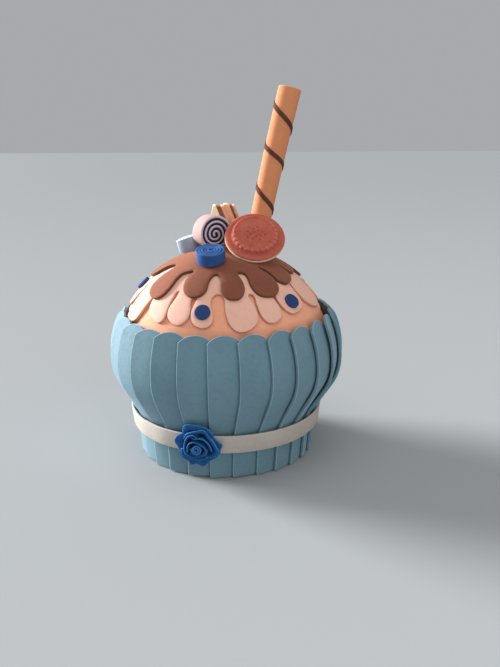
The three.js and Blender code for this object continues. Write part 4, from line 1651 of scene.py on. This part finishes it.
@dataclass(frozen=True)
class Rose:
    """The rose on the ribbon: a wound bud in whorls of cupped petals, irregular and folded."""

    azimuth: float = -15.5
    stand: float = 67.6
    height: float = 27.4
    sheet: float = 1.1
    rim: float = 0.3
    rows: int = 16
    lip_samples: int = 6
    root_level: float = 0.12
    opening: float = 0.4
    curl: float = 0.3
    curl_span: tuple[float, float] = (0.85, 1.0)
    unevenness: float = 0.18
    uneven_size: float = 6.0
    uneven_shares: tuple[float, float, float] = (0.6, 0.6, 1.0)
    # The petal walls' face-side rims take the lighter edge colour, a painted highlight that fades
    # towards the back.
    edge_highlight_marks: tuple[float, ...] = (1.0, 1.0, 0.5, 0.3, 0.2)
    bud: WoundStrip = WoundStrip(0.4, 1.35, 0.2, 2.2, 1.2, 8.6, -120.0, 0.5, 31)
    bud_seat: Seat = Seat((1.3, 0.2, 1.4), 0.0, 0.0)
    # The bud's share of the lighter edge colour, a painted highlight on its wound edges.
    bud_highlight: float = 0.45
    disc: tuple[tuple[float, float], ...] = (
        (0.0, 0.2), (9.5, 0.2), (9.9, 0.6), (9.5, 1.0), (5.0, 2.4), (0.0, 3.0))
    disc_segments: int = 48
    petals: tuple[Petal, ...] = (
        Petal(0.62, ((-9.9, 7.4, 3.2), (-8.8, 12.6, 5.0), (-5.9, 14.9, 6.0), (-1.3, 14.9, 6.0),
                     (3.8, 14.3, 5.6), (7.7, 12.4, 5.0), (11.1, 8.0, 4.0))),
        Petal(0.55, ((8.0, 11.1, 4.4), (11.2, 7.3, 4.2), (13.9, 3.8, 3.6), (16.2, 1.4, 3.0),
                     (15.1, -1.4, 3.0), (14.7, -4.2, 3.0), (11.9, -7.4, 3.0))),
        Petal(0.55, ((14.7, -3.1, 2.6), (13.3, -6.8, 2.6), (10.4, -8.4, 2.8), (7.4, -10.6, 2.6),
                     (3.4, -14.6, 2.2), (0.7, -13.9, 2.4), (-1.2, -12.9, 2.4))),
        Petal(0.55, ((1.5, -14.0, 2.2), (-1.4, -13.2, 2.6), (-5.1, -14.3, 2.4), (-6.8, -11.8, 2.8),
                     (-10.6, -9.4, 2.8), (-12.3, -6.9, 3.0), (-12.4, -3.7, 3.2))),
        Petal(0.55, ((-10.9, -7.9, 2.8), (-12.7, -3.3, 3.2), (-15.4, 1.2, 3.0), (-13.8, 5.2, 4.2),
                     (-9.8, 8.2, 5.0), (-7.3, 8.0, 5.4))),
        Petal(0.70, ((-8.3, 5.5, 6.2), (-6.6, 8.6, 7.0), (-4.0, 10.2, 7.4), (-0.7, 11.3, 7.4),
                     (3.8, 12.6, 7.4), (6.2, 11.9, 7.0), (8.8, 8.1, 6.6), (12.3, 3.0, 6.2),
                     (14.0, -0.7, 5.8))),
        Petal(0.70, ((9.4, 7.4, 6.2), (12.9, 2.2, 5.8), (14.6, -2.2, 5.4), (12.7, -5.1, 5.6),
                     (9.0, -6.2, 6.0), (6.3, -5.8, 6.2))),
        Petal(0.70, ((7.4, -6.6, 6.0), (2.8, -8.8, 6.0), (-2.4, -9.0, 6.0), (-7.1, -8.4, 5.6),
                     (-10.3, -6.6, 5.2), (-10.7, -2.7, 5.0))),
        Petal(0.78, ((-6.9, -5.2, 7.4), (-7.9, -2.2, 7.6), (-7.7, 1.5, 8.0), (-6.6, 5.2, 8.6),
                     (-4.5, 8.3, 9.0), (-0.9, 9.4, 9.0), (0.4, 8.1, 8.6))),
        Petal(0.78, ((-2.6, 7.4, 8.2), (-0.6, 6.9, 8.8), (2.8, 7.6, 9.2), (5.4, 7.4, 9.2),
                     (7.9, 5.4, 8.8), (10.0, 2.1, 8.4), (10.9, -1.0, 8.0))),
        Petal(0.78, ((8.1, -0.1, 8.8), (7.3, -3.0, 8.6), (3.7, -5.4, 8.4), (-0.7, -6.3, 8.2),
                     (-4.6, -6.1, 7.8), (-7.4, -4.7, 7.2))),
        Petal(0.80, ((-5.2, -2.8, 8.8), (-5.0, 1.4, 9.4), (-3.5, 3.9, 10.0), (-0.4, 5.2, 10.2),
                     (3.0, 4.1, 10.0), (5.2, 2.5, 9.8))),
        Petal(0.80, ((1.4, 4.1, 9.4), (5.2, 3.2, 9.8), (7.3, 0.6, 10.0), (7.3, -1.9, 9.8),
                     (4.5, -4.2, 9.4))),
        Petal(0.80, ((7.2, -0.7, 9.4), (4.6, -3.4, 9.8), (0.4, -3.9, 9.8), (-2.7, -2.7, 9.6))),
    )

    def petal(self, petal: Petal, seed: int) -> tuple[Array, Array]:
        """A petal's inner face as a grid over (round the rose, from root to lip).

        The lip is a smooth curve. From it the petal goes down to its root, where it has a share
        of the lip's distance from the middle: place = lip * (root + (1 - root) * (o v + (1 - o)
        v^3)) with o for the opening, and height = lip height * (l + (1 - l) * (1 - (1 - v)^2))
        with l for the root's level, so that it is a cup whose lip opens outwards. The lip itself
        curls down a little.

        Args:
            petal: its sizes.
            seed: picks its unevenness.

        Returns:
            The face's points and the unit vectors out of it, in the rose's frame.
        """
        lip = open_spline(np.array(petal.lip), self.lip_samples)[:, None, :]
        lip_place, lip_level = lip[..., :2], lip[..., 2:]
        v = np.linspace(0, 1, self.rows)[None, :, None]
        share = self.opening * v + (1 - self.opening) * v**3
        spread = petal.root + (1 - petal.root) * share
        rise = lip_level * (1 - self.root_level) * (1 - (1 - v) ** 2)
        level = lip_level * self.root_level + rise - self.curl * smoothstep(*self.curl_span, v)
        face = np.concatenate([lip_place * spread, level], axis=-1)
        uneven = self.unevenness * ripple(face, self.uneven_size, seed)
        face = face + uneven[..., None] * np.array(self.uneven_shares)
        out = unit(np.cross(np.gradient(face, axis=0), np.gradient(face, axis=1)))
        return face, out

    def build(self) -> None:
        """Builds the petals, the bud and the disc under them as one piece."""
        skin = Skin()
        for number, petal in enumerate(self.petals):
            face, out = self.petal(petal, 200 + number)
            skin.sheet(face, out, self.sheet, self.rim, self.edge_highlight_marks)
        bud = self.bud.skin(self.bud_seat)
        # The bud's wound edges take a fainter painted highlight.
        bud.cut_and_highlight_marks = [self.bud_highlight * marks for marks in bud.cut_and_highlight_marks]
        skin.join(bud)
        skin.join(turned(np.array(self.disc), self.disc_segments))
        place = around(self.stand, np.radians(self.azimuth), self.height)
        seat = Seat(tuple(place), 90.0, self.azimuth)
        skin.points = [seat.put(points) for points in skin.points]
        skin.object("rose_foam", ROSE_BLUE, "rose_foam", "rose")


# ---------------------------------------------------------------- the studio


class LampKind(enum.Enum):
    """Where a light stands: far away like the sun, or near as a square panel."""

    FAR = "SUN"
    NEAR = "AREA"


@dataclass(frozen=True)
class Lamp:
    """A studio light that faces the muffin.

    A near one has its side in metres and its power in watts. A far one has its width as seen from
    the muffin in radians, and its power in watts per square metre.
    """

    name: str
    kind: LampKind
    place: tuple[float, float, float]
    size: float
    power: float
    colour: tuple[float, float, float]
    target: tuple[float, float, float] = (0.0, 0.0, 0.1)

    def build(self) -> None:
        """Makes the light and turns it to its target."""
        data = bpy.data.lights.new(self.name, self.kind.value)
        if self.kind is LampKind.FAR:
            data.angle = self.size
        else:
            data.size = self.size
        data.energy = self.power
        data.color = self.colour
        out = unit(np.array(self.place) - self.target)
        right = unit(np.cross(UP, out))
        axes = np.stack([right, np.cross(out, right), out], axis=-1)
        lamp = bpy.data.objects.new(self.name, data)
        lamp.matrix_world = placed(axes, self.place)
        bpy.context.scene.collection.objects.link(lamp)


def placed(axes: Array, place: Sequence[float]) -> Matrix:
    """A matrix with the axes as its columns and a place.

    Args:
        axes: (3, 3) unit vectors as columns.
        place: in metres.

    Returns:
        The matrix of an object there.
    """
    matrix = np.eye(4)
    matrix[:3, :3] = axes
    matrix[:3, 3] = place
    return Matrix(matrix.tolist())


@dataclass(frozen=True)
class Studio:
    """A plain pale floor, soft light from the left, and the camera of the photograph."""

    camera_place: tuple[float, float, float] = (0.0, -0.4775, 0.223)
    pitch: float = 16.50
    yaw: float = 2.09
    roll: float = -0.22
    lens: float = 37.78
    film: float = 36.0
    seen: tuple[float, float] = (0.01, 50.0)
    floor_size: float = 12.0
    floor_colour: tuple[float, ...] = (0.36, 0.38, 0.39, 1.0)
    floor_roughness: float = 0.95
    floor_specular: float = 0.1
    sky_colour: tuple[float, ...] = (0.75, 0.77, 0.8, 1.0)
    sky_strength: float = 0.52
    lamps: tuple[Lamp, ...] = (
        Lamp("key", LampKind.FAR, (-0.865, 0.44, 0.26), 0.45, 9.0, (1.0, 0.99, 0.99),
             (0.0, 0.0, 0.0)),
        Lamp("top", LampKind.NEAR, (-0.1, -0.3, 1.5), 1.4, 6.5, (1.0, 0.98, 0.95)),
        Lamp("front", LampKind.NEAR, (0.8, -1.6, 0.8), 1.5, 10.8, (1.0, 0.96, 0.91)),
    )

    def camera(self) -> None:
        """Places the camera: it looks down by the pitch, right by the yaw, and is rolled."""
        pitch, yaw, roll = (math.radians(v) for v in (self.pitch, self.yaw, self.roll))
        level = math.cos(pitch)
        ahead = np.array([math.sin(yaw) * level, math.cos(yaw) * level, -math.sin(pitch)])
        right = unit(np.cross(ahead, UP))
        up = np.cross(right, ahead)
        axes = np.stack([right * math.cos(roll) + up * math.sin(roll),
                         up * math.cos(roll) - right * math.sin(roll), -ahead], axis=-1)
        data = bpy.data.cameras.new("camera")
        data.lens = self.lens
        data.sensor_width = self.film
        data.clip_start, data.clip_end = self.seen
        camera = bpy.data.objects.new("camera", data)
        camera.matrix_world = placed(axes, self.camera_place)
        bpy.context.scene.collection.objects.link(camera)
        bpy.context.scene.camera = camera

    def floor(self) -> None:
        """A large flat floor."""
        half = self.floor_size / 2
        mesh = bpy.data.meshes.new("floor")
        corners = [(x * half, y * half, 0.0) for x, y in ((-1, -1), (1, -1), (1, 1), (-1, 1))]
        mesh.from_pydata(corners, [], [(0, 1, 2, 3)])
        paint = bpy.data.materials.new("floor_paper")
        paint.use_nodes = True
        shader = paint.node_tree.nodes["Principled BSDF"]
        shader.inputs["Base Color"].default_value = self.floor_colour
        shader.inputs["Roughness"].default_value = self.floor_roughness
        shader.inputs["Specular IOR Level"].default_value = self.floor_specular
        mesh.materials.append(paint)
        floor = bpy.data.objects.new("floor", mesh)
        bpy.context.scene.collection.objects.link(floor)

    def build(self) -> None:
        """Sets up the camera, the floor and the light."""
        self.camera()
        self.floor()
        for lamp in self.lamps:
            lamp.build()
        world = bpy.data.worlds.new("studio")
        world.use_nodes = True
        background = world.node_tree.nodes["Background"]
        background.inputs["Color"].default_value = self.sky_colour
        background.inputs["Strength"].default_value = self.sky_strength
        bpy.context.scene.world = world
        bpy.context.scene.view_settings.view_transform = "Standard"


class Part(Protocol):
    """A sub-assembly of the muffin."""

    def build(self) -> None:
        """Builds its pieces."""


def parts() -> tuple[Part, ...]:
    """The muffin's sub-assemblies from the foot up.

    Returns:
        The sub-assemblies, in building order.
    """
    return (
        Body(),
        SlatCase(),
        Ribbon(),
        Rose(),
        CREAM_LAYER,
        CHOCOLATE_LAYER,
        Dots(),
        ShortRoll("blue_roll", ROYAL, "blue_foam", (19.4, -17.5), (16.0, -13.0), 82.3, 10.3, 8.0,
                  1.75, 110.0),
        ShortRoll("sky_roll", SKY, "sky_foam", (18.4, -118.0), (16.0, -96.0), 82.7, 8.6, 9.5,
                  1.9, 200.0),
        SwirlRoll(),
        WaferRoll(),
        Biscuit(),
        WaferStack(),
    )


def main() -> None:
    """Builds the muffin, then the studio."""
    logging.basicConfig(level=logging.INFO, format="%(name)s: %(message)s")
    for part in parts():
        part.build()
    Studio().build()


if __name__ == "__main__":
    main()
